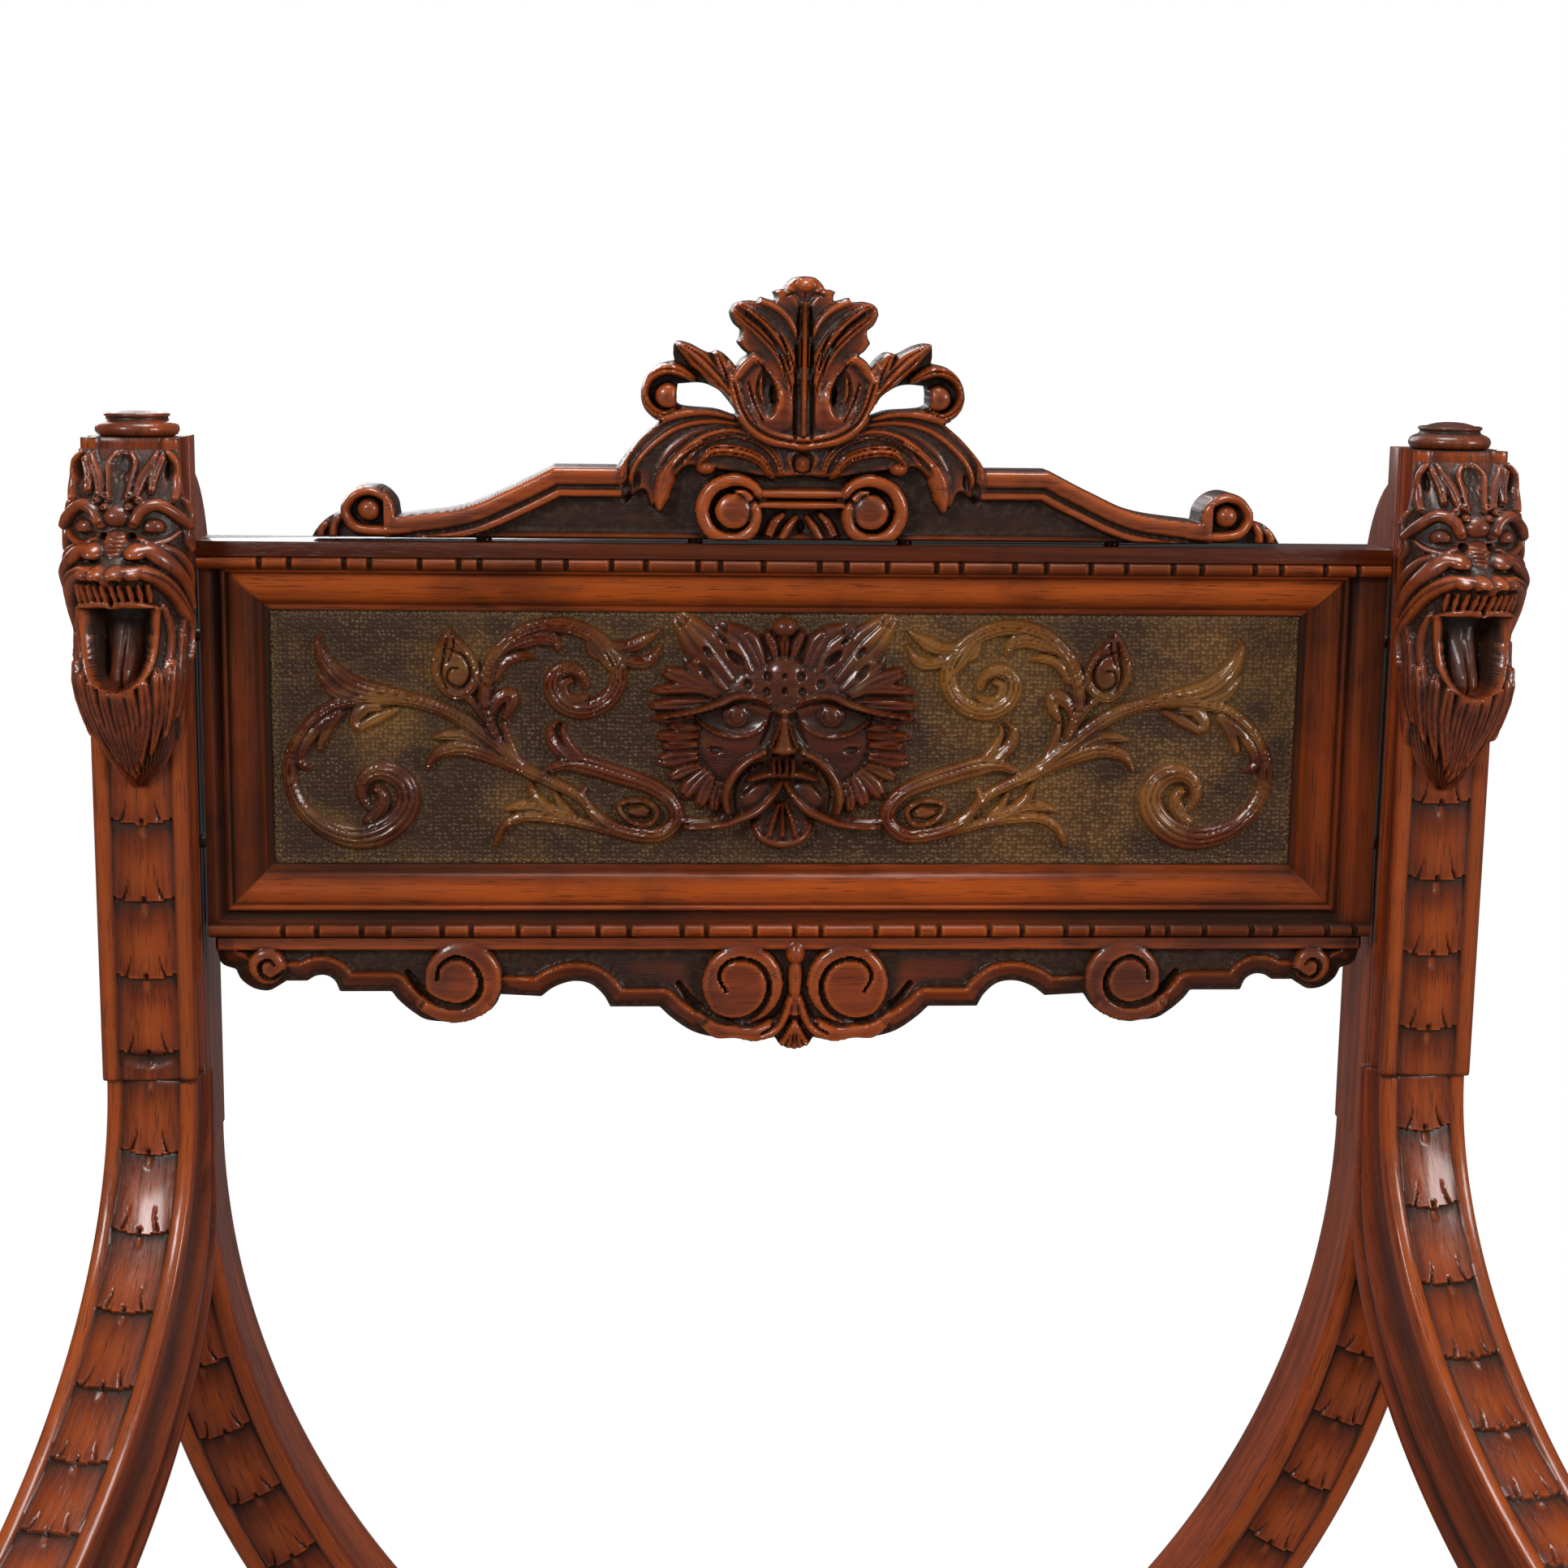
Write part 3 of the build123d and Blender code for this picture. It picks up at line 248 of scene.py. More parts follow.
def walnut(name, tone=1.0, dust=0.0, varnish=0.35, gloss=0.25, bright=0.75, stain=0.1, glaze=0.0,
           figure=1.0, gilded=False):
    """Walnut that reads a piece's grain, painted shade, and wear and painted highlight attributes."""
    material, shade, output = new_material(name)
    grain = shade.node("ShaderNodeAttribute", {"attribute_name": "grain"}, out="Vector")
    recess = shade.node("ShaderNodeAttribute", {"attribute_name": "recess"}, out="Fac")
    wear = shade.node("ShaderNodeAttribute", {"attribute_name": "wear"}, out="Fac")

    def along_grain(across, along, detail=4.0, warp=0.0):
        placed = shade.node("ShaderNodeMapping", {}, {"Vector": grain, "Scale": (across, across, along)})
        feeds = {"Vector": placed, "Scale": 1.0, "Detail": detail, "Distortion": warp}
        return shade.node("ShaderNodeTexNoise", {}, feeds)

    heart, streak, golden = (tuple(part * tone for part in tint) for tint in (HEART, STREAK, GOLDEN))
    broad = along_grain(28.0, 2.4, 3.0, 1.2).between(0.32, 0.68)
    flame = along_grain(120.0, 3.4, 4.0, 1.6).between(0.40, 0.60)
    fibre = along_grain(420.0, 9.0, 5.0).between(0.3, 0.7)
    pores = along_grain(1300.0, 60.0, 2.0).between(0.58, 0.68)
    blotch = along_grain(9.0, 6.0, 3.0, 0.5).between(0.38, 0.66)
    smoke = along_grain(34.0, 26.0, 4.0, 0.6).between(0.50, 0.72)
    colour = (broad * 0.45 * figure + flame * 0.3 + fibre * 0.25).mix(streak, heart)
    # Wear and painted highlights turn the heights golden.
    colour = (wear * bright + (broad * flame * blotch) * 0.5 * figure).mix(colour, golden)
    colour = (blotch * 0.36 + smoke * 0.3).mix(colour, streak)
    colour = (pores * 0.6).mix(colour, PATINA_AND_SHADE)
    # Painted shade in the recesses, with grime, glaze and stain, darkens towards the patina colour.
    glazed = (1 - wear) * (smoke * 0.6 + 0.7) * glaze
    shade_and_grime = recess + glazed + (fibre - 0.5) * 0.12 + smoke * 0.12 + stain * (blotch - 0.5)
    shade_and_grime = shade_and_grime.between(0.08, 0.88)
    colour = shade_and_grime.mix(colour, PATINA_AND_SHADE)
    if dust:
        settled = along_grain(420.0, 420.0, 3.0).between(0.47, 0.64) * recess.between(0.45, 1.0)
        colour = (settled * dust * 0.4).mix(colour, DUST)
    rough = 0.24 + fibre * 0.10 + shade_and_grime * 0.14 + blotch * 0.08
    relief = fibre * 0.25 - pores * 0.5 + along_grain(260.0, 120.0, 2.0) * 1.2
    relief = relief + along_grain(70.0, 40.0, 2.0) * 2.0
    if gilded:
        ground = shade.node("ShaderNodeAttribute", {"attribute_name": "ground"}, out="Fac")
        gilding = shade.node("ShaderNodeAttribute", {"attribute_name": "gilding"}, out="Fac")
        dusty = shade.node("ShaderNodeAttribute", {"attribute_name": "dusty"}, out="Fac")
        cells = shade.node("ShaderNodeTexVoronoi", {}, {"Vector": grain, "Scale": 500.0, "Randomness": 0.5})
        relief = relief + cells.between(0.12, 0.50) * ground * 3.6
        cloud = along_grain(34.0, 24.0, 5.0, 1.2).between(0.30, 0.70)
        patch = (cloud * 0.75 + gilding * 0.95 - 0.44).between(0.0, 0.72)
        gilt = patch.mix(SMOKED, OLIVE_GOLD)
        # Painted shade in a ring round each punch of the ground.
        gilt = (cells.between(0.42, 0.58) * 0.6).mix(gilt, PATINA_AND_SHADE)
        colour = (ground * 0.94).mix(colour, gilt)
        colour = (patch * (1 - ground) * (1 - recess) * 0.45).mix(colour, OLD_GOLD)
        flecks = along_grain(60.0, 60.0, 4.0).between(0.42, 0.66)
        specks = along_grain(900.0, 900.0, 2.0).between(0.44, 0.60)
        # Pale painted glints in the middle of each punch, and pale specks of dust where the ground is
        # dusty.
        pale = ground * cells.between(0.34, 0.14) * (flecks * 0.5 + 0.06) + dusty * specks * 0.5
        colour = pale.mix(colour, FLECK)
        rough = rough + ground * 0.12
        varnish = (1 - ground * 0.6) * varnish
    bump = shade.node("ShaderNodeBump", {}, {"Strength": 0.4, "Distance": 0.0006, "Height": relief})
    surface = {
        "Base Color": colour, "Roughness": rough, "Normal": bump, "Specular IOR Level": gloss,
        "Coat Weight": (1 - shade_and_grime * 0.85) * varnish, "Coat Roughness": 0.13,
    }
    shade.feed(output.inputs["Surface"], shade.node("ShaderNodeBsdfPrincipled", {}, surface))
    return material


frame_walnut = walnut("frame_walnut", 0.95, varnish=0.35)
carved_walnut = walnut("carved_walnut", 0.84, dust=0.24, varnish=0.7, gloss=0.4, bright=0.56, stain=0.24,
                       glaze=0.26)
banded_walnut = walnut("banded_walnut", 0.9, dust=0.1, varnish=0.5, gloss=0.3, bright=0.7, stain=0.2,
                       glaze=0.06)
dark_walnut = walnut("dark_walnut", 0.3, varnish=0.5)
moulded_walnut = walnut("moulded_walnut", 1.0, varnish=0.22, gloss=0.1, stain=0.35, figure=1.2)
gilded_walnut = walnut("gilded_walnut", 0.36, dust=0.1, varnish=0.8, gloss=0.35, bright=0.5, glaze=0.1,
                       gilded=True)


def write_attributes(mesh, **fields):
    """Per-point attributes of a mesh, one number or three for each point."""
    for name, values in fields.items():
        values = np.ascontiguousarray(values, dtype=np.float32)
        kind, slot = ("FLOAT_VECTOR", "vector") if values.ndim == 2 else ("FLOAT", "value")
        attribute = mesh.attributes.new(name, kind, "POINT")
        attribute.data.foreach_set(slot, values.ravel())


def corners_of(mesh):
    """The points of a mesh as an array."""
    flat = np.empty(len(mesh.vertices) * 3)
    mesh.vertices.foreach_get("co", flat)
    return flat.reshape(-1, 3)


GRAIN_ORDER = {"x": (1, 2, 0), "y": (0, 2, 1), "z": (0, 1, 2)}


def finish_piece(piece, name, body, slot, material, *nodes):
    """Names a finished piece, gives it its finish and hangs it on its body."""
    piece.name = piece.data.name = name
    piece.data.materials.clear()
    piece.data.materials.append(material)
    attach(piece, body)
    if nodes:
        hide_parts(*nodes)
    return piece


def softened(node, grain_axis, body, slot, material, width=0.0012, above=None, name=None):
    """A planed piece with its sharp edges eased, which takes its node's place."""
    bpy.ops.object.select_all(action="DESELECT")
    piece = frame["nodes"][node].copy()
    piece.data = frame["nodes"][node].data.copy()
    piece.parent = None
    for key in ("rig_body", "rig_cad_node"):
        del piece[key]
    bpy.context.scene.collection.objects.link(piece)
    piece.hide_render = piece.hide_viewport = False
    piece.select_set(True)
    bpy.context.view_layer.objects.active = piece
    bpy.ops.object.mode_set(mode="EDIT")
    bpy.ops.mesh.select_all(action="SELECT")
    bpy.ops.mesh.remove_doubles(threshold=1e-5)
    if above is not None:
        bpy.ops.mesh.bisect(plane_co=(0, 0, above), plane_no=(0, 0, 1), use_fill=True, clear_inner=True)
        bpy.ops.mesh.select_all(action="SELECT")
    bpy.ops.mesh.dissolve_limited(angle_limit=radians(1.0))
    bpy.ops.object.mode_set(mode="OBJECT")
    bevel = piece.modifiers.new("eased_edges", "BEVEL")
    bevel.width, bevel.segments = width, 2
    bevel.limit_method, bevel.angle_limit = "ANGLE", radians(32)
    bpy.ops.object.modifier_apply(modifier=bevel.name)
    bpy.ops.object.shade_smooth_by_angle(angle=radians(32))
    points = corners_of(piece.data)
    write_attributes(piece.data, grain=points[:, GRAIN_ORDER[grain_axis]])
    return finish_piece(piece, name or f"{node}_eased", body, slot, material, node)


# ---------------------------------------------------------------- seat, runners and feet
# Planed walnut boards and rails with eased edges. The seat boards lie loose on four rails, the
# runners stand on four pads, and a turned stretcher with a rosette at each end pins the Xs.
for node in ("seat_front_rail", "seat_rear_rail"):
    softened(node, "x", "frame", "walnut", frame_walnut)
for node in ("seat_left_rail", "seat_right_rail", "left_runner", "right_runner"):
    softened(node, "y", "frame", "walnut", frame_walnut, 0.002)
for node in ("front_left_foot", "front_right_foot", "rear_left_foot", "rear_right_foot"):
    softened(node, "y", "frame", "walnut", dark_walnut, 0.001)
for board in range(4):
    softened(f"seat_board_{board + 1}", "y", "seat", "seat_walnut", frame_walnut, 0.0015)
for node in ("seat_front_batten", "seat_rear_batten"):
    softened(node, "x", "seat", "seat_walnut", frame_walnut)
for node in ("stretcher", "front_rosette", "rear_rosette"):
    softened(node, "y", "frame", "walnut", frame_walnut, 0.0006)

# ---------------------------------------------------------------- curved X members
# Four sawn walnut boards, halved into each other where they cross. The front face is carved
# with two rounded borders and a band of overlapping scales between them.
SCALE_PITCH = 35.0
SCALE_BRACKET = 2.4
BAND_HALF = 13.0
BAND_DEPTH = 2.8
BORDER_LEAST = 7.0
BORDER_DROP = 2.4
SLIT_DEPTH = 1.7
U_RADIUS = 400.0
U_SPRING = 752.0
POST_WIDTH = 42.0
MEMBER_WIDTH = 44.0
MEMBER_WAIST = 48.0
LAP_GAP = 0.15
FACE_COLUMNS, SIDE_COLUMNS, BACK_COLUMNS = 57, 13, 4


def soft_peak(distance, half_width):
    """1 on a line, falling round to 0 at half_width from it."""
    return np.clip(1 - (distance / half_width) ** 2, 0, 1)


def scales(along, across, half):
    """Height of a band of scales, its painted shadow, and its painted highlights and pale chips."""
    bent = along - SCALE_BRACKET * (1 - (across / half) ** 2)
    place = bent % SCALE_PITCH
    share = place / SCALE_PITCH
    height = -BAND_DEPTH + 1.9 * share**0.55 + 1.1 * soft_peak(across, half)
    number = np.floor(bent / SCALE_PITCH)
    uneven = np.sin(number * 12.9) * 0.05
    lower = np.clip((share - 0.64 - uneven) / 0.34, 0, 1)
    slit_place = half * (0.44 + uneven + 0.22 * lower**2)
    slit = soft_peak(np.abs(across + 8 * uneven) - slit_place, 0.35 + 0.5 * lower)
    slit = slit * np.sqrt(lower) * (share < 0.985)
    hole = soft_peak(np.hypot(across, (place - SCALE_PITCH + 1.4) * 0.7), 1.3)
    hole = np.maximum(hole, soft_peak(np.hypot(across, place + 0.8), 1.3))
    chip = soft_peak(across, 1.9) * np.clip((6.5 - place) / 3, 0, 1) * (place > 0.8)
    height = height - SLIT_DEPTH * slit - 2.4 * hole - 0.8 * chip
    # Painted shadow under each scale's edge, along the band's sides and in the slits and holes. Painted
    # highlight along each scale's lower edge and across its middle, and pale chips below the holes.
    shadow = 0.9 * np.exp(-place / 5.0) + 0.6 * np.exp(-(half - np.abs(across)) / 1.5)
    shadow = np.maximum(np.maximum(shadow, slit), hole) * (1 - 0.6 * chip)
    shine = 0.7 * np.clip((place - SCALE_PITCH + 2.0) / 2.0, 0, 1) + 0.6 * chip
    shine = shine + 0.45 * soft_peak(across, half * 0.9) * soft_peak(share - 0.62, 0.36)
    return height, np.clip(shadow + 0.08, 0, 1), np.clip(shine, 0, 1)


def border(across, half, edge):
    """Height of a rounded border between the band and the edge, painted shade in its groove,
    and wear with painted highlight on its crown.
    """
    share = np.clip((np.abs(across) - half) / (edge - half), 0, 1)
    height = -BORDER_DROP * (1 - np.sqrt(np.clip(1 - (2 * share - 1) ** 2, 0, 1)))
    return height, 0.9 * np.exp(-share * (edge - half) / 0.8), 0.6 * soft_peak(share - 0.5, 0.5)


def carved_face(along, across, band, edge):
    """Height, painted shade, wear and painted highlight of a band of scales between two borders."""
    height, dark, worn_and_lit = scales(along, across, band)
    edge_height, edge_dark, edge_worn_and_lit = border(across, band, edge)
    outside = np.abs(across) > band
    height = np.where(outside, edge_height, height)
    return height, np.where(outside, edge_dark, dark), np.where(outside, edge_worn_and_lit, worn_and_lit)


def plain_side(share):
    """How far a member's side lies inside its edge, and how dark it is, over its depth."""
    return 0.3 * np.sin(pi * share), 0.10 + 0 * share


def arm_side(share):
    """The same for an arm: a hollow, a thin bead, a groove and a bead along the back,
    the hollow and the groove darkened with painted shade.
    """
    hollow = 3.0 * soft_peak(share - 0.38, 0.27)
    groove = 2.6 * soft_peak(share - 0.79, 0.05)
    dark = 0.55 * soft_peak(share - 0.40, 0.24) + 0.95 * soft_peak(share - 0.79, 0.06)
    return hollow + groove + 0.8 * soft_peak(share - 1.0, 0.06), dark


def carved_bar(name, centres, acrosses, outwards, halves, depths, side, phase=0.0, lap=None, lens=None):
    """A bar along a line of centres, its outward face carved with borders and scales."""
    rows = len(centres)
    steps = np.linalg.norm(np.diff(centres, axis=0), axis=1)
    along = np.concatenate(([0], np.cumsum(steps)))[:, None] + phase
    halves, depths = halves[:, None], depths[:, None]
    face = np.linspace(-1, 1, FACE_COLUMNS)[None, :] * halves
    height, dark, worn_and_lit = carved_face(along, face, np.minimum(halves - BORDER_LEAST, BAND_HALF), halves)
    if lens is not None:
        # The sunk oval gets painted shade and loses its wear and painted highlight.
        sunk = soft_peak(np.hypot((along - phase - lens) / 4.4, face / 12.0), 1.0) ** 0.6
        height, dark, worn_and_lit = height - 1.4 * sunk, np.maximum(dark, 0.9 * sunk), worn_and_lit * (1 - sunk)
    run = along - phase
    joint = 0.85 * np.exp(-np.minimum(run, run[-1] - run) / 0.7)
    height, dark = height - 0.5 * joint, np.maximum(dark, joint)
    share = np.linspace(0, 1, SIDE_COLUMNS + 2)[None, 1:-1]
    inset, side_dark = side(share)
    side_down = BORDER_DROP + share * (depths - 3.2)
    back = np.linspace(1, -1, BACK_COLUMNS)[None, :] * (halves - 1.0)
    one = np.ones((rows, 1))
    across = np.hstack([face, halves - inset * one, back, -(halves - inset * one)[:, ::-1]])
    down = np.hstack([-height, side_down, depths * np.ones((1, BACK_COLUMNS)), side_down[:, ::-1]])
    plain = side_dark * one
    dark = np.hstack([dark, plain, 0.3 * one * np.ones((1, BACK_COLUMNS)), plain[:, ::-1]])
    worn_and_lit = np.hstack([worn_and_lit, 0 * plain, 0 * back * one, 0 * plain])
    if lap is not None:
        partner, reach, keep_front = lap
        spots = centres[:, None, :] + across[..., None] * acrosses[:, None, :]
        gaps = np.full(spots.shape[:2], 1e9)
        for start in range(0, len(partner), 4):
            gap = np.hypot(spots[..., 0] - partner[start, 0], spots[..., 2] - partner[start, 2])
            gaps = np.minimum(gaps, gap)
        middle = depths / 2 * np.ones_like(down)
        cut = np.minimum(down, middle - LAP_GAP) if keep_front else np.maximum(down, middle + LAP_GAP)
        down = np.where(gaps < reach, cut, down)
    points = (
        centres[:, None, :]
        + across[..., None] * acrosses[:, None, :]
        - down[..., None] * outwards[:, None, :]
    )
    grain = np.stack([across, down, along * np.ones_like(across)], -1)
    return wrapped(name, points, grain, dark, worn_and_lit)


def wrapped(name, points, grain, dark, worn_and_lit, closed=True, back=None, keep=None, **fields):
    """A grid bent to the given points in millimetres. A bar's last column joins its first; a
    board is cut to the squares that are kept and given sides and a flat back."""
    rows, columns = points.shape[:2]
    bpy.ops.object.select_all(action="DESELECT")
    bpy.ops.mesh.primitive_grid_add(x_subdivisions=columns - 1 + closed, y_subdivisions=rows - 1)
    bar = bpy.context.object
    if closed:
        ring = [np.concatenate([part, part[:, :1]], 1) for part in (points, grain, dark, worn_and_lit)]
        points, grain, dark, worn_and_lit = ring
    bar.data.vertices.foreach_set("co", (points * MM).ravel())
    fields = {label: values.ravel() for label, values in fields.items()}
    write_attributes(bar.data, grain=grain.reshape(-1, 3) * MM, recess=dark.ravel(), wear=worn_and_lit.ravel(),
                     **fields)
    if keep is not None:
        corners = np.empty(4 * len(bar.data.polygons), dtype=np.int32)
        bar.data.polygons.foreach_get("vertices", corners)
        first = corners.reshape(-1, 4).min(axis=1)
        bpy.ops.object.mode_set(mode="EDIT")
        bpy.ops.mesh.select_mode(type="FACE")
        bpy.ops.mesh.select_all(action="DESELECT")
        bpy.ops.object.mode_set(mode="OBJECT")
        bar.data.polygons.foreach_set("select", ~keep[first // columns, first % columns])
        bpy.ops.object.mode_set(mode="EDIT")
        bpy.ops.mesh.delete(type="FACE")
        bpy.ops.mesh.select_mode(type="VERT")
        bpy.ops.object.mode_set(mode="OBJECT")
    front = len(bar.data.vertices)
    bpy.ops.object.mode_set(mode="EDIT")
    bpy.ops.mesh.select_all(action="SELECT")
    if closed:
        bpy.ops.mesh.remove_doubles(threshold=2e-6)
    if back is None or keep is None:
        bpy.ops.mesh.select_all(action="DESELECT")
        bpy.ops.mesh.select_non_manifold(extend=False, use_wire=False, use_multi_face=False,
                                         use_non_contiguous=False, use_verts=False)
    if back is not None:
        bpy.ops.mesh.extrude_region_move()
        bpy.ops.object.mode_set(mode="OBJECT")
        places = corners_of(bar.data)
        places[front:, 1] = back * MM
        bar.data.vertices.foreach_set("co", places.ravel())
        for label, plain in (("recess", 0.35), ("wear", 0.1), *((label, 0.0) for label in fields)):
            values = np.empty(len(bar.data.vertices), dtype=np.float32)
            bar.data.attributes[label].data.foreach_get("value", values)
            values[front:] = plain
            bar.data.attributes[label].data.foreach_set("value", values)
        bpy.ops.object.mode_set(mode="EDIT")
        if keep is None:
            bpy.ops.mesh.edge_face_add()
    elif closed:
        bpy.ops.mesh.edge_face_add()
    bpy.ops.mesh.select_all(action="SELECT")
    bpy.ops.mesh.normals_make_consistent(inside=False)
    bpy.ops.object.mode_set(mode="OBJECT")
    bpy.ops.object.shade_smooth_by_angle(angle=radians(50))
    bar.name = name
    return bar


def across_line(line):
    """Unit steps across a line in the X-Z plane, at each of its points."""
    ahead = np.gradient(line, axis=0)
    ahead /= np.linalg.norm(ahead, axis=1)[:, None]
    return np.stack([-ahead[:, 2], 0 * ahead[:, 0], ahead[:, 0]], -1)


post_low, post_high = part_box("right_head_post")
post_x = (post_low.x + post_high.x) / 2 / MM
joint_z, post_top = post_low.z / MM, post_high.z / MM
crossing_z = (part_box("stretcher")[0].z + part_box("stretcher")[1].z) / 2 / MM
runner_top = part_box("right_runner")[1].z / MM
arc_x = post_x - U_RADIUS
crossing_angle = np.arctan2(U_SPRING - crossing_z, -arc_x)
lower_arc_z = 2 * crossing_z - U_SPRING
foot_angle = np.arcsin((runner_top - lower_arc_z) / U_RADIUS)


def lower_half():
    """Arch from the crossing down to the runner on the other side."""
    angles = np.arange(crossing_angle, foot_angle, -radians(0.18))
    angles = np.append(angles, foot_angle)
    return np.stack([-(arc_x + U_RADIUS * np.cos(angles)), lower_arc_z + U_RADIUS * np.sin(angles)], -1)


def rear_line(y):
    """Centre line of the right rear member, from the spring of the U to the left runner."""
    angles = np.arange(0, crossing_angle, 1.25 / U_RADIUS)
    upper = np.stack([arc_x + U_RADIUS * np.cos(angles), U_SPRING - U_RADIUS * np.sin(angles)], -1)
    line = np.concatenate([upper, lower_half()])
    return np.insert(line, 1, y, axis=1)


def bezier(knots, count):
    """Points along the curve that four knots pull."""
    t = np.linspace(0, 1, count)[:, None]
    a, b, c, d = (np.array(knot, float) for knot in knots)
    return (1 - t) ** 3 * a + 3 * t * (1 - t) ** 2 * b + 3 * t**2 * (1 - t) * c + t**3 * d


def front_line(y, top_x, top_z):
    """Centre line of the right front member, from under the arm to the left runner."""
    slope = tan(pi / 2 - crossing_angle)
    handle = 0.45 * top_x
    upper = bezier([(top_x, top_z), (top_x, top_z - 0.5 * (top_z - crossing_z)),
                    (handle, crossing_z + handle * slope), (0.0, crossing_z)], 300)
    line = np.concatenate([upper[:-1], lower_half()])
    return np.insert(line, 1, y, axis=1)


def member_halves(line, top_width):
    """Half widths along a member: narrow at the top, widest where it crosses its partner."""
    crossing_row = int(np.argmin(np.abs(line[:, 0])))
    place = np.concatenate([np.linspace(0, 2, crossing_row + 1),
                            np.linspace(2, 4, len(line) - crossing_row)[1:]])
    widths = np.array([top_width, MEMBER_WIDTH, MEMBER_WAIST, MEMBER_WIDTH, MEMBER_WIDTH, MEMBER_WIDTH])
    step = np.minimum(place.astype(int), 4)
    ease = (1 - np.cos(pi * (place - step))) / 2
    return (widths[step] + (widths[step + 1] - widths[step]) * ease) / 2


for end in ("rear", "front"):
    low, high = (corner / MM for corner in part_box(f"right_{end}_member"))
    face_y, depth = low.y, high.y - low.y
    if end == "rear":
        line, top_width = rear_line(face_y), POST_WIDTH
    else:
        line, top_width = front_line(face_y, high.x - MEMBER_WIDTH / 2, high.z), MEMBER_WIDTH
    halves = member_halves(line, top_width)
    for side, flip in (("right", 1), ("left", -1)):
        centres = line * (flip, 1, 1)
        partner = line * (-flip, 1, 1)
        lap = (partner, MEMBER_WAIST / 2 + LAP_GAP, side == "right")
        outwards = np.tile((0.0, -1.0, 0.0), (len(line), 1))
        bar = carved_bar(f"{side}_{end}_carved_member", centres, across_line(centres), outwards,
                         halves, np.full(len(line), depth), plain_side, lap=lap)
        finish_piece(bar, bar.name, "frame", "walnut", frame_walnut, f"{side}_{end}_member")

# The straight top of each rear member, with its shallow block and rounded shoulder.
for side in ("left", "right"):
    softened(f"{side}_rear_member", "z", "frame", "walnut", frame_walnut, 0.0012,
             above=U_SPRING * MM, name=f"{side}_rear_post_top")

# ---------------------------------------------------------------- head boards
# A walnut board glued to the front of each post, from the arm up to the top. Below the head it
# is carved with the same borders and scales as the X frames, and its sides are hollowed.
FACING = 26.0
ROW_STEP = 1.1
for side, flip, phase, lens in (("right", 1, 19.0, None), ("left", -1, 9.0, post_top - 803.0)):
    heights = np.append(np.arange(post_top, joint_z, -ROW_STEP), joint_z)
    centres = np.stack([np.full(len(heights), flip * post_x),
                        np.full(len(heights), post_high.y / MM - FACING), heights], -1)
    ones = np.ones(len(heights))
    crosswise, outwards = np.outer(ones, (1.0, 0, 0)), np.outer(ones, (0, -1.0, 0))
    board = carved_bar(f"{side}_head_board", centres, crosswise, outwards,
                       ones * POST_WIDTH / 2, ones * FACING, arm_side, phase=phase, lens=lens)
    finish_piece(board, board.name, "frame", "carved_walnut", banded_walnut)

# ---------------------------------------------------------------- finials
# Turned walnut buttons, pegged into the tops of the posts: a ring, a hollow, a thin rim and
# a low dome. Each point of the profile is a radius and a height in millimetres.
FINIAL_PROFILE = np.array([
    (0.3, 0.0), (11.0, 0.0), (15.6, 0.1), (17.2, 0.9), (17.95, 2.4), (18.0, 3.6), (17.4, 5.0),
    (16.0, 6.0), (14.6, 6.5), (13.6, 7.0), (13.2, 7.8), (13.3, 8.4), (13.9, 8.8), (14.1, 9.3),
    (13.9, 9.8), (13.2, 10.1), (12.2, 10.1), (11.4, 10.0),
    (10.6, 10.3), (8.6, 11.0), (6.0, 11.6), (3.0, 11.9), (0.3, 12.0),
])
around = np.linspace(0, 2 * pi, 65)[None, :-1]
for side in ("left", "right"):
    low, high = (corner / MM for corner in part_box(f"{side}_finial"))
    middle, radius, height = (low.x + high.x) / 2, FINIAL_PROFILE[:, :1], FINIAL_PROFILE[:, 1:]
    depth = (low.y + high.y) / 2
    height = height + high.z - FINIAL_PROFILE[:, 1].max()
    place_x, place_y = middle + radius * np.cos(around), depth + radius * np.sin(around)
    points = np.stack([place_x, place_y, height + 0 * around], -1)
    # Painted shade in the hollow under the rim; wear and painted highlight on the ring and the rim.
    dark = np.interp(FINIAL_PROFILE[:, 0], [0, 11.2, 12.8, 13.4, 14.0, 18],
                     [0.15, 0.35, 0.9, 0.7, 0.3, 0.05])
    worn_and_lit = np.interp(FINIAL_PROFILE[:, 1], [0, 3, 6, 9.3, 10, 12], [0, 0.5, 0.3, 0.8, 0.1, 0.0])
    dark, worn_and_lit = (values[:, None] + 0 * around for values in (dark, worn_and_lit))
    button = wrapped(f"{side}_turned_finial", points, points, dark, worn_and_lit)
    finish_piece(button, button.name, "frame", "carved_walnut", carved_walnut, f"{side}_finial")

# ---------------------------------------------------------------- arms
# Each walnut arm leaves the foot of a head board, sweeps forward and outward and ends in a
# scroll. Its top is carved like the posts, its sides are hollowed with a bead along the back.
ARM_HEIGHT = 596.0
ARM_SPLAY = radians(12.0)
ARM_WIDTH = 42.0
ARM_THICKNESS = 48.0
ARM_SCROLL = 24.0
ARM_OVERHANG = 43.0
ARM_SIDES = (("right", 1, 12.0), ("left", -1, 4.0))
SCROLL_PITCH = 7.4
RISE = np.array((0, 0, 1.0))
bend = joint_z - ARM_HEIGHT
post_front = post_high.y / MM - FACING
front_post_y = (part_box("right_front_member")[0].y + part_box("right_front_member")[1].y) / 2 / MM
arm_end = (post_front - front_post_y) / cos(ARM_SPLAY) + ARM_OVERHANG


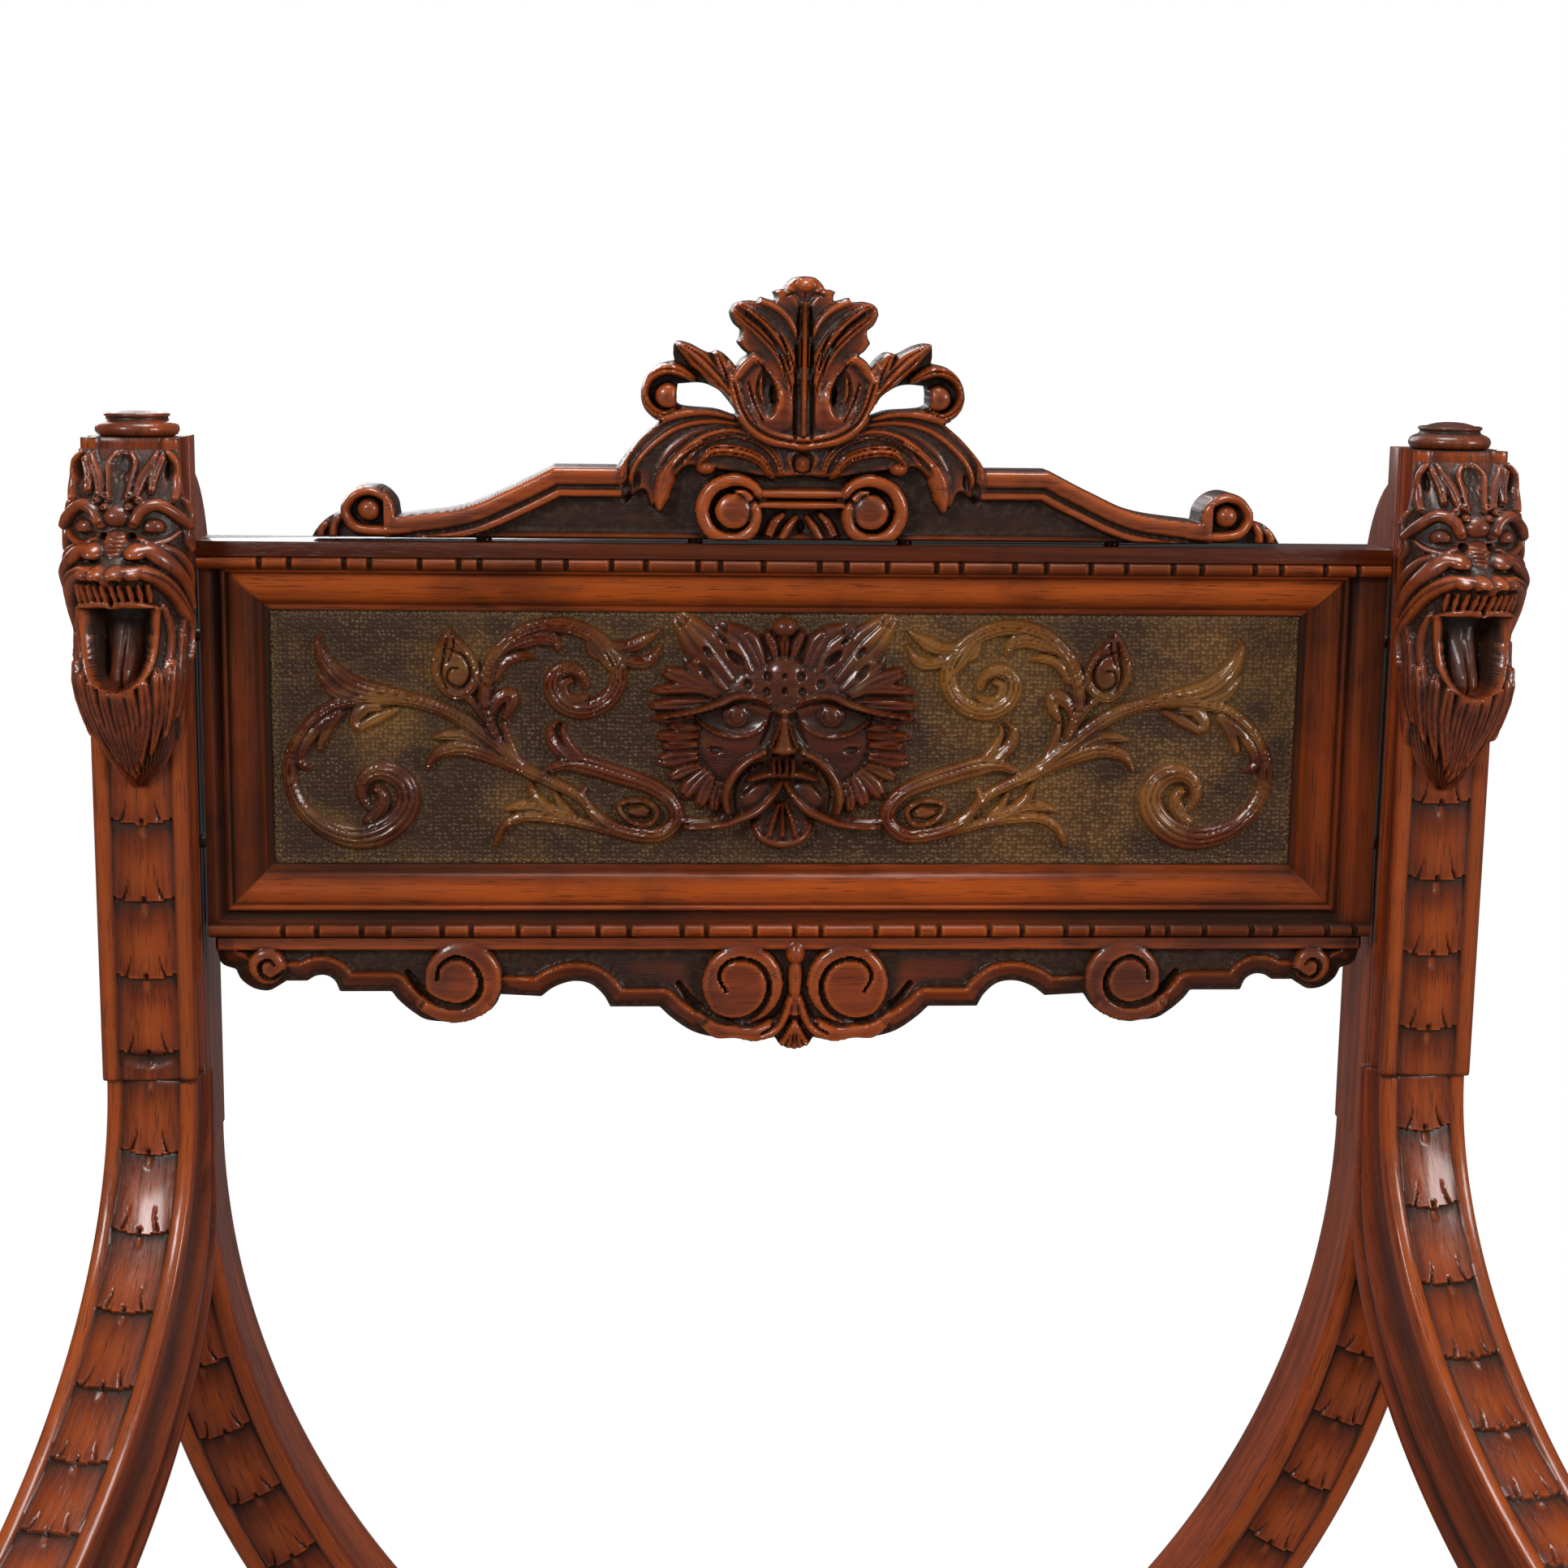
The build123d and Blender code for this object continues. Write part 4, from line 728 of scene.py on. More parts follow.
level_run = 1.35 * bend
top_path = bezier([(0, joint_z), (0, joint_z - 0.40 * bend), (0.42 * bend, ARM_HEIGHT + 0.10 * bend),
                   (level_run, ARM_HEIGHT)], 330)
straight = np.arange(level_run + 1, arm_end, ROW_STEP)
path = np.concatenate([top_path, np.stack([straight, 0 * straight + ARM_HEIGHT], -1)])
under = ARM_HEIGHT - ARM_THICKNESS
under_path = bezier([(-FACING, joint_z - 0.30 * bend), (-FACING, joint_z - 0.72 * bend),
                     (0.36 * bend, under + 0.12 * bend), (level_run, under)], 400)
under_path = np.concatenate([[(-FACING, joint_z)], under_path, [(arm_end + 60, under)]])
ahead = np.gradient(path, axis=0)
ahead /= np.linalg.norm(ahead, axis=1)[:, None]
inward = np.stack([ahead[:, 1], -ahead[:, 0]], -1)
depths = []
for spot, way in zip(path, inward):
    start, leg = under_path[:-1] - spot, np.diff(under_path, axis=0)
    turn = way[0] * leg[:, 1] - way[1] * leg[:, 0]
    turn = np.where(np.abs(turn) < 1e-9, 1e-9, turn)
    reach = (start[:, 0] * leg[:, 1] - start[:, 1] * leg[:, 0]) / turn
    share = (start[:, 0] * way[1] - start[:, 1] * way[0]) / turn
    hits = reach[(share >= -1e-6) & (share <= 1 + 1e-6) & (reach > 0)]
    depths.append(hits.min() if len(hits) else ARM_THICKNESS)


def arm_frame(flip):
    """Where an arm leaves its post in plan, the way it runs and the way across it."""
    forward = np.array((flip * sin(ARM_SPLAY), -cos(ARM_SPLAY), 0))
    return np.array((flip * post_x, post_front, 0)), forward, np.cross(RISE, forward)


for side, flip, phase in ARM_SIDES:
    origin, forward, crosswise = arm_frame(flip)
    centres = origin + path[:, :1] * forward + path[:, 1:] * RISE
    outwards = -(inward[:, :1] * forward + inward[:, 1:] * RISE)
    crosswise = np.outer(np.ones(len(path)), crosswise)
    arm = carved_bar(f"{side}_carved_arm", centres, crosswise, outwards,
                     np.full(len(path), ARM_WIDTH / 2), np.array(depths), arm_side, phase=phase)
    finish_piece(arm, arm.name, "frame", "carved_walnut", banded_walnut, f"{side}_arm")

# Each arm ends in a drum that carries its borders and scales round, and a spiral is cut in
# both faces of the drum.
rim = ARM_WIDTH / 2
turned = np.linspace(0, 2 * pi, 97)[None, :-1]
face_radii = np.linspace(0.3, ARM_SCROLL - 2.4, 28)[:, None]
wind = (face_radii / SCROLL_PITCH - turned / (2 * pi)) % 1.0
cut = soft_peak(np.minimum(wind, 1 - wind), 0.20) * np.clip((face_radii - 4.6) / 1.0, 0, 1)
cut = np.maximum(cut, soft_peak(face_radii - 5.0, 1.0))
cut = cut * np.clip((ARM_SCROLL - 2.6 - face_radii) / 1.0, 0, 1)
# Wear and painted highlight on a ring of each face, away from the spiral.
face_worn_and_lit = 0.5 * (1 - cut) * np.exp(-((face_radii - 17.0) / 9.0) ** 2)
across = np.linspace(-rim, rim, 43)[:, None]
length = np.linalg.norm(np.diff(path, axis=0), axis=1).sum()
for side, flip, phase in ARM_SIDES:
    origin, forward, crosswise = arm_frame(flip)
    middle = origin + arm_end * forward + (0, 0, ARM_HEIGHT - ARM_SCROLL)
    run = length + phase + (turned - pi / 2) * ARM_SCROLL
    height, dark, worn_and_lit = carved_face(run, across, BAND_HALF, rim)
    spread = np.concatenate([-rim + 2.2 * cut, across + 0 * turned, rim - 2.2 * cut[::-1]])
    radius = np.concatenate([face_radii + 0 * turned, ARM_SCROLL - 0.05 + height,
                             face_radii[::-1] + 0 * turned])
    # The spiral is darkened with painted shade.
    dark = np.concatenate([0.85 * cut + 0.1, dark, 0.85 * cut[::-1] + 0.1])
    worn_and_lit = np.concatenate([face_worn_and_lit, worn_and_lit, face_worn_and_lit[::-1]])
    spoke = -np.cos(turned)[..., None] * forward + np.sin(turned)[..., None] * RISE
    points = middle + spread[..., None] * crosswise + radius[..., None] * spoke
    grain = np.stack([spread, radius * np.cos(turned), radius * np.sin(turned)], -1)
    drum = wrapped(f"{side}_arm_scroll", points, grain, dark, worn_and_lit)
    finish_piece(drum, drum.name, "frame", "carved_walnut", banded_walnut)

# ---------------------------------------------------------------- frame of the back
# A mitred walnut moulding round the panel: a lip, a broad hollow-backed swell, a fine
# ridge, a cove and a dark flat. It covers the stiles and rails that hold the panel.
SIGHT_LAP = 3.0
field_low, field_high = -236.0, 228.0
stile_low, stile_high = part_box("left_stile")[0] / MM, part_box("right_stile")[1] / MM
rail_top, rail_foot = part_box("back_top_rail")[1].z / MM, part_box("back_bottom_rail")[0].z / MM
sight_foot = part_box("back_bottom_rail")[1].z / MM - SIGHT_LAP
sight_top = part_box("back_top_rail")[0].z / MM + SIGHT_LAP


def box_ring(offset):
    """Points round the field, each side moved outward by the offset as far as it may go."""
    left, right = max(field_low - offset, stile_low.x), min(field_high + offset, stile_high.x)
    foot, top = max(sight_foot - offset, rail_foot), min(sight_top + offset, rail_top)
    share = np.concatenate([[0, 0.004], np.linspace(0.02, 0.98, 40), [0.996]])
    sides = []
    for start, end in (((left, foot), (right, foot)), ((right, foot), (right, top)),
                       ((right, top), (left, top)), ((left, top), (left, foot))):
        start, end = np.array(start), np.array(end)
        sides.append(start + share[:, None] * (end - start))
    return np.concatenate(sides)


# Each point of the moulding's profile: how far outside the field, and its depth.
profile = np.array([
    (0.0, 200.9), (0.0, 199.6), (0.5, 198.9), (1.6, 198.6), (2.6, 198.5), (3.0, 197.9), (3.6, 197.0),
    (5.0, 195.4), (7.0, 193.7), (9.0, 192.5), (11.0, 191.7), (13.0, 191.2), (15.0, 191.0), (16.6, 191.2),
    (17.2, 191.6), (17.5, 190.9), (18.0, 190.0), (18.6, 189.5), (19.3, 189.6), (19.8, 190.2),
    (20.3, 191.4), (21.2, 192.2), (22.6, 192.3), (23.8, 191.7), (24.6, 190.9), (25.2, 190.6),
    (34.0, 190.6), (60.0, 190.6), (60.0, 217.0), (0.0, 217.0),
])
loop = np.array([np.insert(box_ring(offset), 1, y, axis=1) for offset, y in profile])
columns = loop.shape[1] // 4
lengthwise = np.repeat([0, 1, 0, 1], columns)
grain = np.where(lengthwise[None, :, None] == 1, loop, loop[..., (1, 2, 0)])
offsets = profile[:, 0]
# Painted shade at the panel's edge, in the small groove and in the cove; painted highlight on the swell and
# the fine ridge. The flat is drawn dark.
shade_across = np.interp(offsets, [0, 0.5, 2.4, 3.2, 6, 15, 17.3, 18, 19.5, 20.5, 23, 25, 34, 60],
                         [0.9, 0.45, 0.35, 0.6, 0.12, 0.05, 0.45, 0.1, 0.35, 0.85, 0.8, 0.55, 0.62, 0.7])
bright_across = np.interp(offsets, [0, 3, 6, 12, 16, 17.5, 18.5, 20, 60],
                          [0.2, 0.1, 0.5, 0.7, 0.35, 0.1, 0.45, 0, 0])
dark = np.tile(shade_across[:, None], (1, loop.shape[1]))
# The stiles are drawn darker and less bright than the rails.
dark = dark + 0.45 * lengthwise[None, :] * (dark < 0.5)
worn_and_lit = np.tile(bright_across[:, None], (1, loop.shape[1])) * (1 - 0.75 * lengthwise[None, :])
# Painted light: the upper half gets stronger painted highlights, and the lower rail weaker ones and extra
# painted shade.
upper = loop[..., 2] > (sight_foot + sight_top) / 2
worn_and_lit = worn_and_lit * np.where(upper, 1.15, 0.6)
dark = dark + np.where(upper, 0.0, 0.10) * (1 - lengthwise[None, :])
loop, grain, dark, worn_and_lit = (np.concatenate([part, part[:1]]) for part in (loop, grain, dark, worn_and_lit))
moulding = wrapped("back_moulding", loop, grain, dark, worn_and_lit)
finish_piece(moulding, "back_moulding", "back", "back_walnut", moulded_walnut,
             "left_stile", "right_stile", "back_top_rail", "back_bottom_rail")

# A strip runs along the top and the foot of the frame, notched at uneven steps.
NOTCHES = (21, 13, 24, 11, 22, 17, 9, 26, 12, 20, 15, 23, 10, 19, 25, 12, 18, 22, 11, 24, 14, 20, 16, 21,
           13, 24, 12, 20, 15, 22)
for node, first, steps in (("upper_bead", 6, NOTCHES), ("lower_bead", 11, NOTCHES[::-1])):
    low, high = (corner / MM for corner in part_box(node))
    run = np.arange(low.x, high.x + 0.4, 0.8)
    cuts = low.x + first + np.cumsum(steps)
    gap = np.min(np.abs(run[:, None] - cuts[None, :]), axis=1)[:, None]
    round_share = np.linspace(0, 1, 11)[None, :]
    bulge = 0.15 + 0.85 * np.sin(pi * np.clip(round_share, 0.04, 0.96)) ** 0.6
    cut = np.clip(1.2 * (1 - (gap / 1.35) ** 2), 0, 1)
    forward = (high.y - low.y) * bulge * (1 - 0.5 * cut)
    place_z = high.z - (high.z - low.z) * round_share + 0 * gap
    points = np.stack([run[:, None] + 0 * place_z, high.y - forward, place_z], -1)
    rear = np.stack([run, np.full(len(run), high.y), np.full(len(run), low.z)], -1)[:, None, :]
    rear = np.concatenate([rear, rear + (0, 0, high.z - low.z)], 1)
    points = np.concatenate([points, rear], 1)
    # Painted shade along the strip's edges and in the notches; wear and painted highlight on the bulge,
    # with a painted glint beside each notch.
    edge_dark = 0.5 * np.exp(-np.minimum(round_share, 1 - round_share) / 0.08)
    dark = np.maximum(0.6 * cut * np.ones_like(round_share), edge_dark * np.ones_like(gap)) + 0.42
    worn_and_lit = 0.25 * bulge * (1 - cut) + 0.9 * np.exp(-((gap - 1.9) / 0.6) ** 2) * bulge
    pad = np.zeros((len(run), 2))
    dark, worn_and_lit = np.hstack([dark, pad + 0.5]), np.hstack([worn_and_lit, pad])
    strip = wrapped(f"notched_{node}", points, points[..., (1, 2, 0)], dark, worn_and_lit)
    finish_piece(strip, strip.name, "back", "back_walnut", moulded_walnut, node)

# The cap is a thin dark board that laps over the beads.
softened("back_cap", "x", "back", "back_walnut", dark_walnut, 0.001)


# ---------------------------------------------------------------- carved panel
# One walnut board let into the moulding. Scrolling foliage and a leaf-edged mask stand up
# from a ground that is punched all over and keeps traces of old gilding.
GROUND_Y = 201.0
RELIEF_LIMIT = 12.6
ORNAMENT_MIDDLE = -6.5
PANEL_STEP = 0.77


def smoothed(values, reach):
    """A grid of values with each point averaged over its neighbours, twice."""
    for _ in range(2):
        for axis in (0, 1):
            size = 2 * reach + 1
            padding = [(reach + 1, reach) if axis == side else (0, 0) for side in (0, 1)]
            sums = np.cumsum(np.pad(values, padding, mode="edge"), axis=axis)
            upper = np.take(sums, range(size, sums.shape[axis]), axis=axis)
            lower = np.take(sums, range(0, sums.shape[axis] - size), axis=axis)
            values = (upper - lower) / size
    return values


def smooth_line(points, count=8):
    """A smooth line through the given points."""
    points = np.array(points, float)
    ends = np.concatenate([2 * points[:1] - points[1:2], points, 2 * points[-1:] - points[-2:-1]])
    t = np.linspace(0, 1, count + 1)[:-1, None]
    a, b, c, d = ends[:-3, None], ends[1:-2, None], ends[2:-1, None], ends[3:, None]
    line = 0.5 * (2 * b + (c - a) * t + (2 * a - 5 * b + 4 * c - d) * t**2 + (3 * b - a - 3 * c + d) * t**3)
    return np.concatenate([line.reshape(-1, 2), points[-1:]])


class Carving:
    """Half of a carved face, mirrored about its middle: heights in millimetres over a ground."""

    def __init__(self, half_width, foot, top, step):
        self.step, self.foot = step, foot
        across = np.arange(0, half_width + step, step)
        self.x, self.z = np.meshgrid(across, np.arange(foot, top + step / 2, step))
        self.height = np.zeros_like(self.x)
        self.gloom = np.zeros_like(self.x)

    def window(self, low, high):
        """The part of the grid between two corners."""
        left, foot = max(int(low[0] / self.step), 0), max(int((low[1] - self.foot) / self.step), 0)
        right, top = int(high[0] / self.step) + 2, int((high[1] - self.foot) / self.step) + 2
        return slice(foot, max(top, foot)), slice(left, max(right, left))

    def along(self, points, widths):
        """Where each point near a smooth line lies: its window, share along, side and width."""
        line = smooth_line(points)
        run = np.concatenate([[0], np.cumsum(np.linalg.norm(np.diff(line, axis=0), axis=1))])
        share = np.linspace(0, 1, int(run[-1] / 0.5) + 3)
        line = np.stack([np.interp(share * run[-1], run, line[:, axis]) for axis in (0, 1)], -1)
        way = np.gradient(line, axis=0)
        way /= np.linalg.norm(way, axis=1)[:, None] + 1e-9
        breadth = np.interp(share, np.linspace(0, 1, len(widths)), widths)
        reach = max(widths) + 1
        spot = self.window(line.min(0) - reach, line.max(0) + reach)
        x, z = self.x[spot], self.z[spot]
        best = np.full(x.shape, 1e9)
        nearest = np.zeros(x.shape, int)
        for index, (px, pz) in enumerate(line):
            gap = ((x - px) ** 2 + (z - pz) ** 2) / breadth[index] ** 2
            closer = gap < best
            best[closer], nearest[closer] = gap[closer], index
        offset_x, offset_z = x - line[nearest, 0], z - line[nearest, 1]
        side = way[nearest, 0] * offset_z - way[nearest, 1] * offset_x
        return spot, share[nearest], np.clip(side / breadth[nearest], -1, 1), np.sqrt(best)

    def lift(self, spot, height, away):
        """Raises a window to a form's height inside the form, and clears most gloom there."""
        raised = (away < 1) & (height > self.height[spot])
        self.height[spot] = np.where(raised, height, self.height[spot])
        self.gloom[spot] = np.where(raised, 0.2 * self.gloom[spot], self.gloom[spot])

    def ridge(self, points, widths, rise, flutes=0, sharp=0.5):
        """A rounded ridge along a line, with fine flutes running down it like a leaf's."""
        spot, share, side, away = self.along(points, widths)
        ends = np.clip(np.minimum(share, 1 - share) * 12 + 0.55, 0, 1)
        height = rise * ends * np.clip(1 - away**2, 0, 1) ** sharp
        if flutes:
            cut = np.abs(np.sin(pi * (side * 0.5 + 0.5) * (flutes + 1)))
            height = height - 0.26 * rise * (1 - cut) ** 1.3 * (away < 0.86)
        self.lift(spot, height, away)

    def groove(self, points, widths, depth, dark=1.0):
        """A rounded groove cut into what stands there, darkened with painted shade."""
        spot, _, _, away = self.along(points, widths)
        self.height[spot] -= depth * np.clip(1 - away**2, 0, 1)
        self.gloom[spot] = np.maximum(self.gloom[spot], dark * np.clip(1.2 - away**2, 0, 1) * (away < 1))

    def mound(self, middle, radii, rise, turn=0.0, power=0.5):
        """An oval dome."""
        spot, away = self.oval(middle, radii, turn)
        self.lift(spot, rise * np.clip(1 - away**2, 0, 1) ** power, away)

    def pit(self, middle, radii, depth, turn=0.0, dark=1.0):
        """An oval hollow or a drilled hole, darkened with as much painted shade as dark gives."""
        spot, away = self.oval(middle, radii, turn)
        self.height[spot] -= depth * np.clip(1.3 * (1 - away**2), 0, 1)
        self.gloom[spot] = np.maximum(self.gloom[spot], dark * np.clip(1.6 * (1 - away**2), 0, 1))

    def oval(self, middle, radii, turn):
        """The window round a turned oval, and how far out each point lies, 1 on its edge."""
        reach = max(radii)
        middle = np.array(middle)
        spot = self.window(middle - reach, middle + reach)
        x, z = self.x[spot] - middle[0], self.z[spot] - middle[1]
        along = x * cos(radians(turn)) + z * sin(radians(turn))
        across = z * cos(radians(turn)) - x * sin(radians(turn))
        return spot, np.hypot(along / radii[0], across / radii[1])

    def shading(self, near=2, far=7):
        """Painted shade on points below their neighbours, wear and painted highlight on those standing up.
        """
        drop = smoothed(self.height, near) - self.height
        deep = smoothed(self.height, far) - self.height
        dark = np.clip(drop / 0.9, 0, 1) + np.clip(deep / 2.6, 0, 0.7) + self.gloom
        return np.clip(dark, 0, 1), np.clip(-drop / 0.8 - 0.2, 0, 1)

    def whole(self, low, high, *fields):
        """Both halves of each field, from low to high across the middle."""
        places = np.arange(round(low / self.step), round(high / self.step) + 1)
        return [places * self.step] + [field[:, np.abs(places)] for field in fields]


# Each stroke of the foliage: its line, its widths along it, its rise and its flutes.
FOLIAGE = [
    ([(113.3, 928.0), (131.3, 942.2), (144.5, 952.4), (155.5, 957.9), (168.7, 961.5), (180.4, 961.9),
      (191.4, 961.1), (201.5, 958.7), (210.1, 952.8), (217.1, 944.2), (221.4, 933.5), (221.0, 922.5),
      (217.1, 913.1), (210.1, 905.2), (200.7, 900.1), (190.6, 898.5), (180.4, 901.3), (172.6, 907.6),
      (168.7, 916.2), (171.1, 924.1), (177.3, 928.4), (184.3, 928.4), (189.0, 924.1), (189.8, 917.8),
      (186.7, 911.5)], [2.4, 2.6, 2.2, 2.0, 2.2, 2.8, 4.2, 3.6, 1.4], 5.0, 2),
    ([(188.2, 905.2), (182.8, 909.9), (180.4, 916.2), (182.0, 920.2), (184.7, 920.2)],
     [1.8, 2.6, 1.4], 4.4, 2),
    ([(198.4, 956.4), (207.8, 950.1), (215.6, 940.6), (217.1, 933.5), (213.6, 930.8)],
     [1.6, 2.2, 1.6], 4.2, 1),
    ([(198.4, 955.6), (203.9, 949.3), (207.4, 942.2), (208.2, 938.3)], [1.2, 1.9, 0.9], 3.6, 0),
    ([(180.4, 958.7), (188.2, 957.9), (192.5, 952.4), (191.0, 948.1)], [1.8, 2.6, 1.5], 4.2, 1),
    ([(173.4, 957.2), (180.4, 954.0), (186.7, 950.9), (191.0, 947.7)], [0.9, 2.0, 1.2], 3.4, 0),
    ([(164.8, 962.7), (176.5, 964.2), (186.7, 965.4), (194.5, 968.2), (201.5, 973.7), (206.2, 980.8),
      (208.2, 987.1), (206.6, 990.6)], [1.2, 2.2, 3.4, 3.6, 2.4, 0.5], 5.0, 2),
    ([(180.4, 963.1), (191.4, 962.7), (200.0, 965.0), (205.4, 969.7), (208.2, 973.3)],
     [1.0, 2.6, 2.6, 0.8], 4.4, 1),
    ([(150.0, 993.4), (153.9, 985.5), (155.9, 976.8), (153.1, 968.2), (146.9, 963.8), (140.6, 967.0),
      (138.3, 972.9), (141.4, 981.6), (147.7, 989.4), (150.0, 993.4)],
      [0.8, 1.6, 1.9, 1.9, 1.6, 0.8], 5.2, 1),
    ([(148.4, 982.3), (145.3, 977.6), (145.3, 971.3), (148.4, 968.2)], [0.8, 2.6, 1.0], 4.6, 1),
    ([(143.0, 963.8), (138.3, 958.7), (133.6, 950.9)], [1.6, 1.4, 1.2], 3.8, 0),
    ([(116.4, 928.8), (130.5, 935.9), (143.0, 939.8), (153.1, 938.3), (158.2, 934.3), (160.5, 930.0)],
     [1.5, 2.6, 3.2, 2.4, 0.8], 4.8, 2),
    ([(134.4, 939.8), (142.2, 944.6), (150.0, 945.7), (158.2, 944.2)], [1.4, 2.4, 2.0, 0.7], 4.2, 1),
    ([(127.1, 940.6), (132.2, 950.9), (134.5, 963.5), (131.8, 976.8), (124.8, 986.7), (115.4, 993.0),
      (102.9, 995.6), (92.0, 993.8), (82.6, 988.2), (76.0, 980.4), (74.4, 972.1), (78.0, 963.5),
      (85.8, 958.1), (94.3, 957.5), (101.4, 961.9), (104.1, 969.0), (101.4, 974.5), (95.1, 975.7),
      (90.4, 972.1), (89.3, 968.2)], [1.6, 2.2, 2.4, 2.6, 2.6, 3.0, 3.2, 1.4], 5.4, 2),
    ([(95.1, 971.3), (99.0, 969.0), (98.2, 963.5), (93.6, 961.9), (88.1, 963.5)], [1.2, 2.2, 1.2], 4.6, 0),
    ([(125.6, 983.9), (117.8, 988.2), (109.2, 990.2), (102.9, 988.2), (101.0, 983.9)],
     [1.2, 2.8, 2.8, 1.2], 4.6, 2),
    ([(130.2, 969.7), (126.3, 977.6), (119.3, 981.2), (111.5, 981.2)], [1.0, 1.9, 1.7, 0.8], 3.8, 1),
    ([(131.8, 954.0), (129.9, 959.9), (126.3, 963.5), (122.4, 963.5), (122.8, 958.7), (126.0, 952.4)],
     [1.0, 2.4, 2.2, 0.9], 4.6, 1),
    ([(125.6, 952.4), (124.8, 946.1), (121.7, 938.3), (116.2, 931.2)], [0.8, 1.7, 1.4, 1.0], 3.6, 0),
    ([(85.8, 991.0), (78.0, 985.9), (70.1, 985.9), (62.3, 989.4), (55.5, 994.3)],
     [1.2, 2.2, 2.4, 0.4], 4.6, 1),
    ([(79.5, 985.5), (73.3, 980.8), (65.5, 978.8), (60.0, 980.4), (55.3, 987.1)],
     [1.2, 2.2, 2.2, 0.4], 4.2, 1),
    ([(88.9, 992.6), (83.4, 986.3), (79.5, 980.0), (75.6, 973.7)], [1.2, 2.6, 2.4, 1.0], 5.0, 1),
    ([(88.9, 988.6), (85.8, 983.1), (80.3, 980.0)], [0.6, 1.8, 0.8], 3.4, 0),
    ([(129.5, 942.2), (117.8, 930.8), (106.1, 924.9), (95.1, 919.4), (88.9, 913.9)],
     [2.2, 2.2, 2.0, 1.6], 4.8, 1),
    ([(107.2, 929.6), (95.1, 932.8), (74.8, 927.6), (58.4, 921.7), (49.9, 914.7), (48.3, 906.8),
      (55.3, 900.1), (66.2, 900.1), (78.0, 903.6), (85.8, 909.9), (90.4, 917.8), (89.3, 921.7)],
      [1.2, 3.2, 3.0, 2.6, 2.4, 2.6, 2.2, 1.0], 5.4, 1),
    ([(74.8, 913.9), (69.4, 915.8), (61.6, 915.0), (56.9, 910.7), (60.0, 905.2), (67.0, 905.2),
      (72.5, 909.1), (74.8, 913.9)], [0.9, 1.0, 1.0, 0.9], 4.4, 0),
    ([(70.1, 911.5), (65.5, 911.1), (60.8, 909.9)], [1.4, 2.6, 1.2], 3.6, 0),
    ([(95.1, 933.5), (102.5, 940.6), (105.3, 947.7), (101.4, 952.4)], [1.8, 2.4, 1.8, 0.5], 4.6, 1),
    ([(88.9, 932.8), (95.9, 939.8), (99.4, 947.7), (98.2, 951.6)], [1.4, 1.9, 1.4, 0.5], 4.0, 0),
    ([(55.3, 898.5), (74.8, 901.3), (90.4, 905.2), (106.1, 908.0), (118.5, 908.0), (126.7, 902.8),
      (130.2, 895.0)], [1.6, 1.8, 1.8, 2.0, 1.9, 0.8], 4.6, 1),
    ([(95.1, 908.4), (106.1, 911.5), (115.4, 913.5), (126.0, 911.5)], [1.2, 2.4, 2.4, 0.6], 4.2, 2),
    ([(114.6, 923.3), (111.5, 917.0), (103.7, 909.9), (93.6, 906.4)], [0.9, 2.2, 1.9, 0.8], 4.6, 1),
    ([(103.3, 919.4), (99.8, 913.1), (93.6, 908.0)], [0.8, 1.6, 0.8], 3.8, 0),
    ([(48.3, 907.2), (40.5, 905.6), (31.1, 906.0), (22.7, 908.4)], [1.4, 1.7, 1.9, 2.2], 4.4, 1),
]
panel = Carving(244, sight_foot - 2, sight_top + 2, PANEL_STEP)
for points, widths, rise, flutes in FOLIAGE:
    panel.ridge(points, [1.5 * width for width in widths], rise, flutes + 1)
panel.mound((146.8, 975.0), (8.6, 11.6), 4.8, power=0.4)
panel.ridge([(146.8, 980.0), (148.4, 987.0), (150.0, 994.0)], [6.0, 3.6, 0.6], 4.8)
for line, widths in (
    ([(150.6, 985.0), (143.0, 981.0), (140.6, 973.0), (145.0, 967.2), (150.6, 970.0), (150.0, 975.4),
      (146.2, 976.2)], [0.5, 0.9, 1.0, 0.9, 0.7]),
    ([(151.8, 982.0), (153.6, 974.0), (151.0, 966.6)], [0.5, 0.8, 0.5]),
    ([(148.6, 992.0), (148.0, 986.0), (150.8, 978.0)], [0.4, 0.7, 0.4]),
):
    panel.groove(line, widths, 1.6, 0.7)
panel.pit((174.5, 935.0), (1.6, 2.6), 2.0)
panel.pit((172.0, 940.5), (0.9, 1.6), 2.0, 60)
panel.pit((66.5, 913.8), (6.0, 1.4), 1.4, -8, 0.6)

